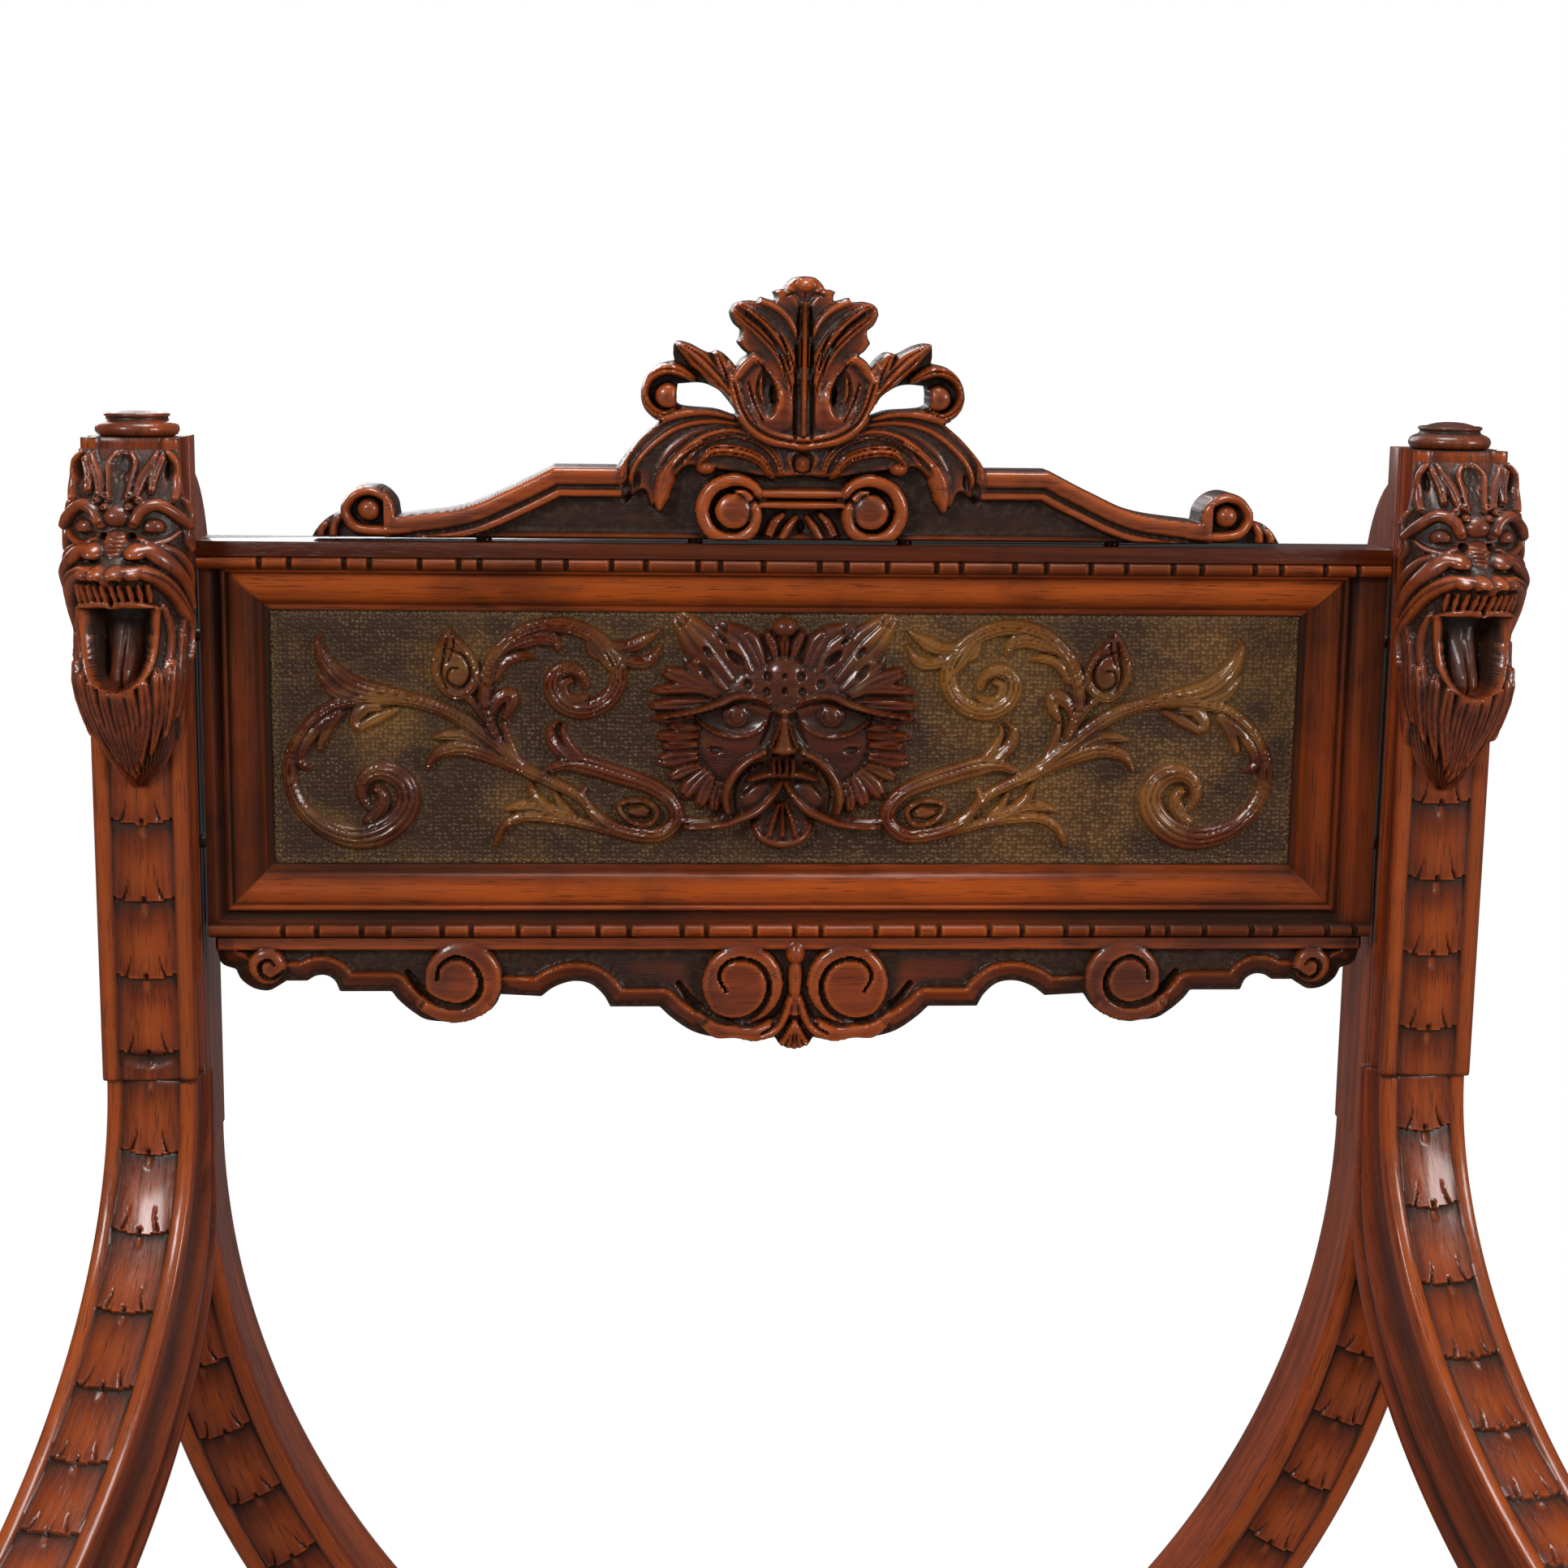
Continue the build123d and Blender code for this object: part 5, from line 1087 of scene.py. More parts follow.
# The mask's mane: petals round the face, the upper ones hollowed like leaves.
PETALS = [
    ((27.7, 965.2), (43.0, 967.4), (58.4, 966.4), 2.1), ((31.8, 961.1), (45.0, 960.0), (59.1, 959.4), 2.4),
    ((37.6, 956.1), (48.0, 954.4), (58.2, 953.6), 2.3), ((36.8, 949.4), (44.0, 949.6), (51.6, 950.3), 1.7),
    ((37.6, 946.1), (48.0, 945.6), (56.6, 945.3), 2.2), ((38.4, 941.9), (47.0, 941.6), (54.1, 941.1), 2.0),
    ((38.4, 936.9), (47.0, 935.6), (55.4, 934.4), 3.2), ((37.6, 932.0), (44.0, 930.0), (50.8, 926.9), 2.4),
    ((34.3, 930.2), (40.0, 924.6), (45.0, 918.6), 3.2), ((31.8, 927.7), (35.0, 920.6), (37.6, 914.4), 2.8),
    ((28.5, 925.2), (30.2, 918.0), (31.0, 911.9), 2.4), ((25.2, 966.1), (33.6, 974.2), (41.4, 980.6), 5.0),
    ((29.3, 963.6), (42.0, 970.4), (53.6, 975.0), 3.0), ((22.5, 970.0), (34.0, 984.0), (45.4, 997.0), 5.8),
    ((14.5, 974.0), (20.4, 984.0), (27.6, 992.0), 6.6), ((10.0, 977.0), (14.0, 986.0), (18.5, 993.0), 3.6),
    ((3.4, 980.0), (5.4, 987.0), (8.2, 993.0), 1.8), ((0.0, 980.0), (0.0, 987.0), (0.0, 991.0), 1.8),
]
panel.mound((0, 948.0), (54.0, 42.0), 2.4, power=0.3)
for start, middle, end, width in PETALS:
    panel.ridge((start, middle, end), (0.8 * width, 1.3 * width, 1.6 * width, 0.9 * width), 5.4,
                1 if width < 4 else 2)
panel.mound((0, 995.0), (6.2, 4.8), 7.0)
for place, radii, turn in (((34.6, 984.0), (3.6, 1.7), 52), ((21.9, 981.4), (5.6, 2.4), 40),
                           ((35.4, 975.0), (5.6, 2.1), 52), ((27.0, 989.4), (3.0, 0.9), 45)):
    panel.pit(place, radii, 2.8, turn, 0.6)

# The face itself, from its cheeks up to the roll round the mouth and down to the chin.
panel.mound((0, 946.0), (40.0, 30.0), 6.6, power=0.32)
panel.mound((0, 963.0), (30.0, 17.0), 7.2, power=0.35)
panel.mound((0, 972.0), (11.0, 11.0), 8.2, power=0.4)
for place, size in (((7.6, 973.2), 2.0), ((8.0, 966.4), 1.9), ((0.0, 973.6), 1.2), ((0.0, 967.0), 1.5),
                    ((16.5, 969.6), 2.1)):
    panel.pit(place, (size, 1.25 * size), 2.2)
panel.pit((24.0, 953.4), (16.5, 6.2), 1.8, -4, 0.0)
panel.mound((21.2, 954.9), (7.2, 6.8), 7.6, power=0.3)
for size in (5.4, 3.4):
    angles = np.linspace(2.4, 7.0, 9)
    panel.groove([(21.2 + size * cos(angle), 954.9 + 0.94 * size * sin(angle)) for angle in angles],
                 [0.5, 0.6, 0.5], 0.9, 0.7)
panel.mound((21.2, 955.2), (2.2, 2.2), 8.6, power=0.5)
panel.pit((21.2, 955.4), (1.0, 1.0), 0.9, 0, 0.6)
panel.pit((40.6, 956.0), (1.9, 1.7), 3.0)
panel.ridge([(5.2, 960.4), (9.5, 963.0), (15.0, 964.2), (22.0, 964.0), (30.0, 960.4), (42.0, 956.8),
             (58.5, 954.0)],
            [1.3, 2.4, 2.6, 2.2, 1.6, 1.0], 9.6, sharp=0.7)
panel.groove([(6.0, 958.6), (12.0, 960.6), (20.0, 961.4), (28.0, 958.9), (38.0, 955.9)],
             [0.6, 0.9, 0.9, 0.7], 1.6)
panel.ridge([(39.0, 952.6), (31.0, 947.6), (21.0, 945.6), (12.0, 948.2), (7.0, 953.6)],
            [0.7, 1.4, 1.5, 1.0], 7.8)
panel.pit((31.0, 939.6), (4.0, 1.7), 2.2, 0)
panel.groove([(5.2, 956.0), (6.4, 949.0), (9.8, 942.6)], [1.2, 2.2, 1.4], 1.6, 0.35)
panel.ridge([(0, 957.6), (0, 951.0), (0, 944.6), (0, 938.8)], [2.2, 3.4, 5.4, 7.6], 12.2, sharp=0.5)
panel.mound((0, 958.0), (5.4, 2.8), 12.0)
panel.groove([(-5, 954.8), (0, 955.0), (5, 954.8)], [0.5, 0.7, 0.5], 1.0, 0.6)
panel.mound((0, 940.4), (7.6, 3.6), 12.4)
panel.ridge([(1.6, 955.0), (3.6, 947.0), (6.4, 940.6)], [0.7, 0.9, 1.0], 12.6)
panel.pit((3.6, 937.2), (1.7, 1.0), 2.6)
panel.mound((8.8, 938.8), (2.2, 2.2), 9.8)
panel.pit((0.0, 923.0), (21.5, 14.0), 4.4, 0, 0.2)
panel.ridge([(-2, 928.2), (7.0, 928.2), (16.0, 925.6)], [2.4, 2.2, 1.2], 7.4)
for place in (1.6, 4.4):
    panel.ridge([(place, 935.6), (place, 931.4), (place - 0.3, 926.8)], [0.8, 1.35, 0.7], 9.6)
for place in ((15.7, 929.6), (9.6, 933.4), (12.6, 931.4)):
    panel.pit(place, (0.9, 0.9), 2.0)
panel.mound((11.6, 917.8), (9.2, 7.8), 3.6, -25, power=0.5)
panel.groove([(3.0, 925.6), (11.0, 924.6), (18.0, 918.6)], [0.5, 1.0, 0.7], 1.8, 0.7)
panel.ridge([(8.6, 938.4), (15.0, 935.6), (21.2, 930.0), (25.0, 923.0), (26.0, 916.4), (24.2, 909.6)],
            [1.8, 2.6, 2.7, 2.4, 1.6], 9.4)
panel.groove([(9.6, 934.2), (15.0, 931.6), (20.0, 926.0), (22.4, 919.4), (21.6, 911.0)],
             [0.5, 0.9, 1.0, 0.7], 2.6)
panel.ridge([(0.4, 925.4), (4.0, 919.6), (10.6, 912.2), (18.8, 908.0), (29.0, 904.8), (44.2, 903.8)],
            [1.5, 2.2, 2.5, 2.3, 1.9, 1.5], 8.4)
panel.mound((0, 905.2), (13.2, 10.2), 5.4, power=0.4)
panel.pit((0, 906.4), (10.0, 7.4), 1.8, 0, 0.2)
for lean in (0.0, 5.4):
    panel.ridge([(0.3 * lean, 914.4), (0.8 * lean, 907.0), (1.15 * lean, 899.4)],
                [0.5, 1.5 + 0.1 * lean, 2.0], 6.4)
panel.ridge([(13.0, 905.4), (9.0, 898.8), (0, 896.2), (-9.0, 898.8)], [1.4, 2.4, 2.6, 2.4], 6.8)
panel.pit((0, 917.6), (1.4, 2.2), 3.0)

# Where the gilding lasted: middle, spread in millimetres, and how much of it.
GILT_PLACES = [
    ((-152, 986), 26, 0.55), ((-186, 952), 17, 0.75), ((-118, 912), 20, 0.5), ((-60, 984), 18, 0.45),
    ((-150, 940), 16, 0.3), ((86, 966), 46, 0.8), ((108, 912), 40, 0.8), ((194, 980), 34, 0.85),
    ((170, 926), 30, 0.6), ((52, 990), 22, 0.7),
]
# Painted shade in the hollows of the carving, and wear with painted highlight on its heights.
dark, worn_and_lit = panel.shading()
across, height, dark, worn_and_lit = panel.whole(
    field_low - ORNAMENT_MIDDLE, field_high - ORNAMENT_MIDDLE, panel.height, dark, worn_and_lit
)
x, z = np.meshgrid(across + ORNAMENT_MIDDLE, panel.z[:, 0])
front = np.stack([x, GROUND_Y - np.clip(height, 0, RELIEF_LIMIT), z], -1)
gilding = np.zeros_like(x)
for middle, spread, share in GILT_PLACES:
    away = np.hypot(x - middle[0], (z - middle[1]) * 1.2) / spread
    gilding = np.maximum(gilding, share * np.exp(-(away**2)))
off_mask = np.hypot((x - ORNAMENT_MIDDLE) / 58.0, (z - 946.0) / 50.0)
gilding *= np.clip(5 * (off_mask - 1), 0, 1)
rim = np.minimum(np.minimum(x - field_low, field_high - x), np.minimum(z - sight_foot, sight_top - z))
sheltered = np.clip((smoothed(height, 3) - height) / 1.2, 0, 1) * (height < 1.0)
dusty = np.clip(0.95 * np.exp(-np.maximum(rim - 1.0, 0) / 1.8) + 0.55 * sheltered, 0, 1)
ground = np.clip(1.2 - height / 0.8, 0, 1)
panel_back = (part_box("carved_panel")[1] / MM).y
carved_panel = wrapped("mask_and_foliage", front, front[..., (1, 2, 0)], 0.8 * dark, worn_and_lit, closed=False,
                       back=panel_back, ground=ground, gilding=gilding, dusty=dusty)
finish_piece(carved_panel, "mask_and_foliage", "back", "gilded_panel", gilded_walnut, "carved_panel")

# ---------------------------------------------------------------- crest
# One walnut board, sawn to its outline and pierced, carved with acanthus, two volutes and a
# palmette. It stands on dowels just clear of the cap, so light shows under it.
BOARD_FACE_Y = 196.5
BOARD_BACK_Y = 213.0
CREST_HALF = 216.6
CREST_STEP = 0.64
crest_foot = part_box("crest_board")[0].z / MM


def to_edge(x, z, edges):
    """How far each point lies inside closed edges, negative outside, and its nearest edge point."""
    nearest, spot_x, spot_z = np.full(x.shape, 1e9), x.copy(), z.copy()
    inside = np.zeros(x.shape, bool)
    for edge in edges:
        for (ax, az), (bx, bz) in zip(edge, np.roll(edge, -1, axis=0)):
            run, rise = bx - ax, bz - az
            share = np.clip(((x - ax) * run + (z - az) * rise) / (run * run + rise * rise + 1e-12), 0, 1)
            px, pz = ax + share * run, az + share * rise
            gap = (x - px) ** 2 + (z - pz) ** 2
            closer = gap < nearest
            nearest = np.where(closer, gap, nearest)
            spot_x, spot_z = np.where(closer, px, spot_x), np.where(closer, pz, spot_z)
            if az != bz:
                crosses = ((az > z) != (bz > z)) & (x < ax + run * (z - az) / rise)
                inside ^= crosses
    return np.where(inside, 1, -1) * np.sqrt(nearest), spot_x, spot_z


def mirrored(half):
    """A closed edge from its right half, given from the top to the foot."""
    return np.concatenate([half, half[::-1] * (-1, 1)])


def sawn_board(carving, half_width, edge, name, node, near=2, far=7):
    """A carved board of the back, cut to its outline, its rim moved onto the outline exactly."""
    dark, worn_and_lit = carving.shading(near, far)
    places, height, dark, worn_and_lit, inside, spot_x, spot_z = carving.whole(
        -half_width, half_width, carving.height, dark, worn_and_lit, *edge
    )
    x, z = np.meshgrid(places, carving.z[:, 0])
    keep = (inside[:-1, :-1] + inside[1:, :-1] + inside[:-1, 1:] + inside[1:, 1:]) / 4 > 0
    used, dropped = np.zeros(x.shape, bool), np.zeros(x.shape, bool)
    for down in (slice(None, -1), slice(1, None)):
        for over in (slice(None, -1), slice(1, None)):
            used[down, over] |= keep
            dropped[down, over] |= ~keep
    rim = used & (dropped | (np.abs(inside) < 0.2))
    x, z = np.where(rim, np.where(x < 0, -spot_x, spot_x), x), np.where(rim, spot_z, z)
    points = np.stack([x, BOARD_FACE_Y - height, z], -1)
    board = wrapped(name, points, points[..., (1, 2, 0)], dark, worn_and_lit, closed=False, back=BOARD_BACK_Y,
                    keep=keep)
    finish_piece(board, name, "back", "carved_walnut", carved_walnut, node)


crest_half = np.concatenate([
    smooth_line([(0, 115.5), (4.6, 114.8), (7.6, 112.0), (8.8, 109.8)], 5)[:-1],
    smooth_line([(8.8, 109.8), (11.0, 109.8), (13.4, 108.8)], 3)[:-1],
    smooth_line([(13.4, 108.8), (12.4, 106.6), (12.8, 104.8)], 3)[:-1],
    smooth_line([(12.8, 104.8), (16.0, 105.4), (19.6, 106.6)], 3)[:-1],
    smooth_line([(19.6, 106.6), (20.6, 104.6), (25.6, 104.8), (30.4, 103.4), (32.4, 99.8), (30.8, 95.2),
                 (27.6, 92.2)])[:-1],
    smooth_line([(27.6, 92.2), (27.8, 89.4), (29.2, 86.8)], 3)[:-1],
    smooth_line([(29.2, 86.8), (26.6, 83.6), (24.0, 81.5)], 4),
    smooth_line([(24.0, 81.5), (27.5, 79.0), (29.6, 76.0)]),
    smooth_line([(29.6, 76.0), (33.5, 80.5), (37.5, 83.0), (41.0, 82.0), (44.0, 83.0), (50.0, 86.0),
                 (56.0, 86.8), (57.0, 82.0), (56.5, 78.5)]),
    smooth_line([(56.5, 78.5), (63.5, 76.5), (69.3, 71.0), (71.3, 64.0), (70.0, 58.0), (66.0, 53.5),
                 (62.5, 52.0)]),
    smooth_line([(62.5, 52.0), (70.2, 45.5), (77.1, 37.9), (81.5, 32.0)]),
    smooth_line([(81.5, 32.0), (110.0, 32.0)], 1)[:-1],
    smooth_line([(110.0, 32.0), (128.0, 23.0), (150.0, 13.8), (178.0, 9.8)]),
    smooth_line([(178.0, 9.8), (179.5, 16.5), (184.5, 21.5), (191.0, 23.0), (198.0, 20.5), (202.5, 14.5),
                 (203.0, 10.5)]),
    smooth_line([(203.0, 10.5), (208.0, 9.0), (213.0, 4.5), (216.0, 0.0)]),
]) + (0, crest_foot)
pierced = smooth_line([(55.1, 1102.9), (45.7, 1103.5), (39.7, 1101.7), (35.0, 1098.2), (29.1, 1089.6),
                       (38.5, 1091.9), (53.7, 1093.4), (55.6, 1098.0), (55.1, 1102.9)])[:-1]
crest_edges = [mirrored(crest_half), pierced, pierced * (-1, 1)]
crest = Carving(CREST_HALF, crest_foot, crest_half[:, 1].max() + 0.5, CREST_STEP)
crest_edge = to_edge(crest.x, crest.z, crest_edges)

# The shoulders: a swelling rail along the top edge, a groove, a flat band, a sunk field. Painted
# shade darkens the groove and the sunk field, and all the low ground of the board.
edge_x, edge_z = crest_half.T
shoulder = crest_half[(edge_x > 79) & (edge_x < 181) & (edge_z > crest_foot + 8)]
down, _, _ = to_edge(crest.x, crest.z, [np.concatenate([shoulder, shoulder[::-1] - (0, 0.01)])])
down = np.abs(down)
rail = np.interp(down, [0, 0.6, 2.0, 4.0, 6.6, 7.6, 8.2, 9.4, 10.0, 11.0, 12.6, 13.2, 13.8],
                 [5.2, 6.6, 7.6, 7.9, 7.2, 6.2, 4.2, 4.0, 5.8, 6.2, 6.0, 4.0, 0.0])
on_shoulder = (crest.x > 77) & (crest.x < 184)
crest.height = np.where(on_shoulder, rail, 0.0)
crest.gloom = np.where(on_shoulder, np.interp(down, [7.2, 8.2, 9.4, 10.2, 13, 14, 18, 30],
                                              [0, 0.85, 0.85, 0, 0, 0.7, 0.5, 0.36]), 0.38)
foot_line = 3.2 * np.exp(-((crest.z - crest_foot - 1.0) / 1.6) ** 2) * (crest.x < 150)
crest.height = np.maximum(crest.height, foot_line)

# Each leaf and stem of the acanthus: its line, its widths along it, its rise and its flutes.
ACANTHUS = [
    ([(27.9, 1088.1), (43.3, 1091.1), (59.9, 1088.1), (70.6, 1081.0), (77.7, 1071.5), (80.3, 1060.2)],
     [1.5, 2.6, 2.8, 2.6, 2.4, 1.6], 9.0, 0),
    ([(24.3, 1085.1), (40.9, 1086.9), (55.1, 1084.0), (66.4, 1076.2), (74.1, 1066.8), (76.7, 1056.7)],
     [1.5, 2.0, 2.2, 2.2, 2.0, 1.4], 8.0, 0),
    ([(20.8, 1081.6), (35.0, 1084.9), (48.0, 1081.6), (58.7, 1073.9), (65.2, 1063.8)],
     [1.4, 2.8, 3.2, 3.0, 1.6], 6.6, 0),
    ([(17.2, 1078.6), (30.2, 1083.0), (43.3, 1080.4), (54.0, 1072.7), (60.5, 1062.6)],
     [1.4, 1.9, 2.0, 1.9, 1.4], 8.4, 0),
    ([(43.3, 1079.2), (53.0, 1073.1), (59.6, 1065.6), (63.0, 1056.0)], [1.4, 2.0, 2.6, 3.6], 9.6, 1),
    ([(13.6, 1074.5), (24.3, 1080.6), (37.4, 1079.8), (46.8, 1074.5), (53.4, 1066.8)],
     [1.4, 2.2, 2.2, 1.9, 1.2], 7.6, 1),
    ([(13.0, 1062.6), (19.0, 1070.3), (28.5, 1073.9), (39.7, 1073.9), (46.3, 1067.4)],
     [1.6, 3.2, 3.4, 3.4, 1.0], 10.4, 2),
    ([(8.9, 1063.2), (11.9, 1071.5), (18.4, 1077.4), (29.1, 1080.6)], [1.4, 2.6, 2.4, 1.0], 8.4, 1),
    ([(32.0, 1108.9), (30.0, 1101.2), (27.3, 1092.9), (22.5, 1085.7), (13.6, 1080.4), (0.0, 1077.8),
      (-4.0, 1078.0)],
     [2.6, 4.2, 5.0, 5.4, 5.2, 4.6, 4.6], 12.4, 1),
    ([(31.4, 1103.5), (27.3, 1110.0), (22.5, 1114.2), (18.1, 1111.8)], [2.4, 4.6, 4.6, 1.8], 12.0, 0),
    ([(2.0, 1110.0), (2.7, 1121.9), (7.7, 1132.0), (16.6, 1137.9), (31.4, 1141.5)],
     [2.2, 4.0, 6.0, 4.6, 1.4], 11.6, 2),
    ([(3.2, 1101.7), (5.9, 1114.8), (13.0, 1126.1), (22.5, 1134.4), (32.4, 1139.1)],
     [2.0, 3.2, 3.4, 2.8, 1.2], 12.6, 1),
    ([(4.7, 1091.1), (6.3, 1104.1), (11.5, 1116.0), (19.6, 1124.9), (26.7, 1130.8), (32.4, 1136.1)],
     [1.8, 3.0, 3.2, 3.4, 3.0, 1.6], 11.6, 1),
    ([(6.3, 1086.3), (8.9, 1097.6), (14.2, 1108.9), (21.3, 1117.2), (29.6, 1123.7)],
     [2.0, 3.4, 4.4, 4.8, 2.2], 9.6, 1),
    ([(8.9, 1091.1), (11.3, 1101.7), (17.2, 1110.6)], [1.2, 2.4, 1.4], 11.0, 0),
    ([(-0.4, 1130.8), (2.4, 1137.9), (7.1, 1143.3), (11.5, 1145.4)], [2.0, 4.0, 4.2, 1.4], 10.6, 1),
    ([(-0.4, 1136.1), (0.0, 1144.4), (3.6, 1148.6)], [2.0, 4.6, 2.2], 10.0, 1),
    ([(30.8, 1097.6), (38.5, 1106.3), (46.8, 1114.2), (55.4, 1120.5)], [1.8, 4.4, 5.0, 1.4], 10.4, 2),
    ([(31.4, 1099.4), (34.4, 1107.7), (38.0, 1115.7), (40.3, 1117.2)], [1.5, 3.6, 3.4, 1.2], 9.6, 1),
    ([(48.0, 1105.3), (56.3, 1109.1), (63.5, 1108.6), (69.0, 1104.1), (70.3, 1098.2), (67.2, 1092.3),
      (61.1, 1089.6), (55.1, 1092.3)], [1.6, 3.0, 3.0, 2.8, 2.8, 2.8, 2.4, 1.6], 9.6, 1),
    ([(3.0, 1074.5), (5.9, 1070.3), (3.6, 1065.6)], [1.2, 1.6, 1.2], 7.0, 0),
    ([(2.4, 1044.8), (5.9, 1040.1), (8.9, 1034.7)], [1.2, 2.2, 2.2], 6.0, 0),
    ([(7.7, 1046.6), (11.9, 1042.4), (14.8, 1036.5)], [1.2, 2.4, 2.4], 6.4, 1),
]
LEAF_BODY = smooth_line([(0, 1082), (14, 1086), (28, 1092), (44, 1094), (60, 1091), (72, 1083),
                         (79, 1073), (82.5, 1058), (76, 1054), (70, 1056), (66, 1049), (60, 1056),
                         (52, 1066), (44, 1066), (30, 1064), (14, 1062), (0, 1063)])
PALMETTE_BODY = smooth_line([(0, 1152), (16, 1146), (34, 1143), (36, 1128), (30, 1118), (35, 1111),
                             (31, 1097), (26, 1086), (14, 1078), (0, 1075)])
# The bodies of the leaf and the palmette get painted shade, cleared where forms stand on them.
for body, rise, gloom in ((LEAF_BODY, 5.8, 0.36), (PALMETTE_BODY, 9.2, 0.24)):
    depth, _, _ = to_edge(crest.x, crest.z, [body])
    rising = np.clip(depth / 1.6, 0, 1) ** 0.5
    crest.height = np.where(depth > 0, np.maximum(crest.height, rise * rising), crest.height)
    crest.gloom = np.where(depth > 0, gloom, crest.gloom)
for points, widths, rise, flutes in ACANTHUS:
    crest.ridge(points, widths, rise, flutes)
volute = [(30.4 + size * cos(radians(angle)), 1047.6 + size * sin(radians(angle)))
          for angle, size in ((158, 14.2), (125, 14.0), (90, 13.8), (45, 13.8), (0, 13.8), (-45, 13.4),
                              (-90, 12.8), (-135, 11.6), (-180, 10.0), (-215, 8.0))]
crest.pit((30.4, 1047.6), (15.6, 15.0), 1.5, 0, 0.7)
crest.ridge(volute, [2.2, 2.6, 3.0, 3.2, 3.2, 3.1, 3.0, 2.8, 2.4], 10.4, sharp=0.14)
crest.mound((30.4, 1047.6), (8.2, 8.0), 10.4, power=0.10)
crest.ridge([(22.6, 1052.4), (25.4, 1055.6), (30.0, 1056.6)], [2.4, 1.6, 0.8], 10.4, sharp=0.14)
crest.ridge([(58.6, 1068.0), (61.6, 1060.0), (62.8, 1052.6), (63.0, 1047.6)],
            [2.6, 5.4, 4.4, 1.0], 8.6, sharp=0.4)
crest.mound((42.6, 1066.8), (4.6, 3.6), 9.6, power=0.4)
crest.mound((59.6, 1097.6), (5.6, 5.6), 9.6, power=0.16)
crest.mound((0, 1068.6), (4.6, 5.6), 7.6, power=0.4)
crest.groove([(-0.4, 1073.0), (3.4, 1071.4), (3.6, 1066.0), (-0.4, 1064.2)], [0.6, 0.7, 0.6], 1.6)
crest.mound((0, 1068.6), (2.3, 3.5), 9.2)
crest.ridge([(-2, 1055.4), (10, 1055.4), (20.6, 1055.4)], [2.2, 2.2, 2.0], 8.8, sharp=0.25)
crest.ridge([(-2, 1050.4), (10, 1050.4), (19.6, 1050.4)], [1.9, 1.9, 1.7], 8.2, sharp=0.25)
crest.mound((13.0, 1092.0), (13.4, 14.0), 11.6, -20, power=0.25)
crest.pit((16.2, 1099.4), (5.4, 11.4), 4.2, -4, 0.55)
crest.ridge([(18.6, 1108.0), (19.0, 1100.0), (16.4, 1091.6)], [0.7, 1.6, 0.7], 8.8)
crest.pit((13.4, 1098.0), (1.4, 5.0), 4.6, -6)
crest.groove([(3.7, 1080.0), (3.7, 1098.0), (3.2, 1116.0), (2.4, 1136.0)], [0.8, 1.3, 1.1, 0.7], 2.6, 0.8)
for line in ([(7.6, 1104.0), (10.6, 1116.0), (17.0, 1126.6), (25.6, 1133.6)],
             [(6.4, 1110.0), (9.6, 1122.6), (16.4, 1131.4), (25.0, 1136.8)],
             [(11.4, 1096.0), (14.6, 1105.6), (20.6, 1113.4)],
             [(24.4, 1104.0), (22.0, 1096.0), (18.0, 1087.6)],
             [(27.6, 1101.0), (25.0, 1093.0), (20.6, 1086.0)]):
    crest.groove(line, [0.4, 0.8, 0.5], 1.6, 0.8)
crest.ridge([(0, 1079.4), (0, 1100.0), (0, 1124.0), (0, 1140.6)], [1.9, 2.0, 1.7, 1.1], 13.0)
crest.mound((0, 1145.8), (6.4, 4.4), 12.0, power=0.5)
for flip in (-1, 1):
    crest.groove([(flip * 8.0, 1141.6), (flip * 4.4, 1142.6), (flip * 1.6, 1139.6)], [0.5, 0.8, 0.5], 1.4)
crest.pit((0, 1040.4), (1.6, 3.4), 3.0)
crest.pit((77.4, 1056.0), (2.6, 6.0), 2.4, 8)
crest.pit((73.0, 1060.0), (1.8, 5.0), 2.4, 10)

# The scroll that ends each shoulder, with two small lobes behind it.
crest.ridge([(170, crest_foot + 4), (181, crest_foot + 3.4), (189, crest_foot + 3.2),
             (197, crest_foot + 5.0), (201, crest_foot + 12.0), (197.0, crest_foot + 18.6),
             (190.0, crest_foot + 20.4), (184.0, crest_foot + 17.6), (181.6, crest_foot + 12.0)],
            [2.0, 3.0, 2.8, 2.8, 2.6, 2.6, 2.4, 1.2], 7.4)
crest.mound((190.4, crest_foot + 12.4), (5.4, 5.2), 7.8, power=0.35)
crest.ridge([(203, crest_foot + 9.6), (206, crest_foot + 5), (206.6, crest_foot)], [2.4, 2.2, 1.8], 4.4)
crest.ridge([(209.6, crest_foot + 6.4), (211.6, crest_foot + 3), (212, crest_foot)], [2.4, 2.0, 1.8], 3.6)
crest.height *= np.clip((crest_edge[0] + 0.1) / 0.9, 0.35, 1) ** 0.6
sawn_board(crest, CREST_HALF, crest_edge, "acanthus_crest", "crest_board", 3, 9)
softened("crest_dowels", "z", "back", "back_walnut", dark_walnut, 0.0003)

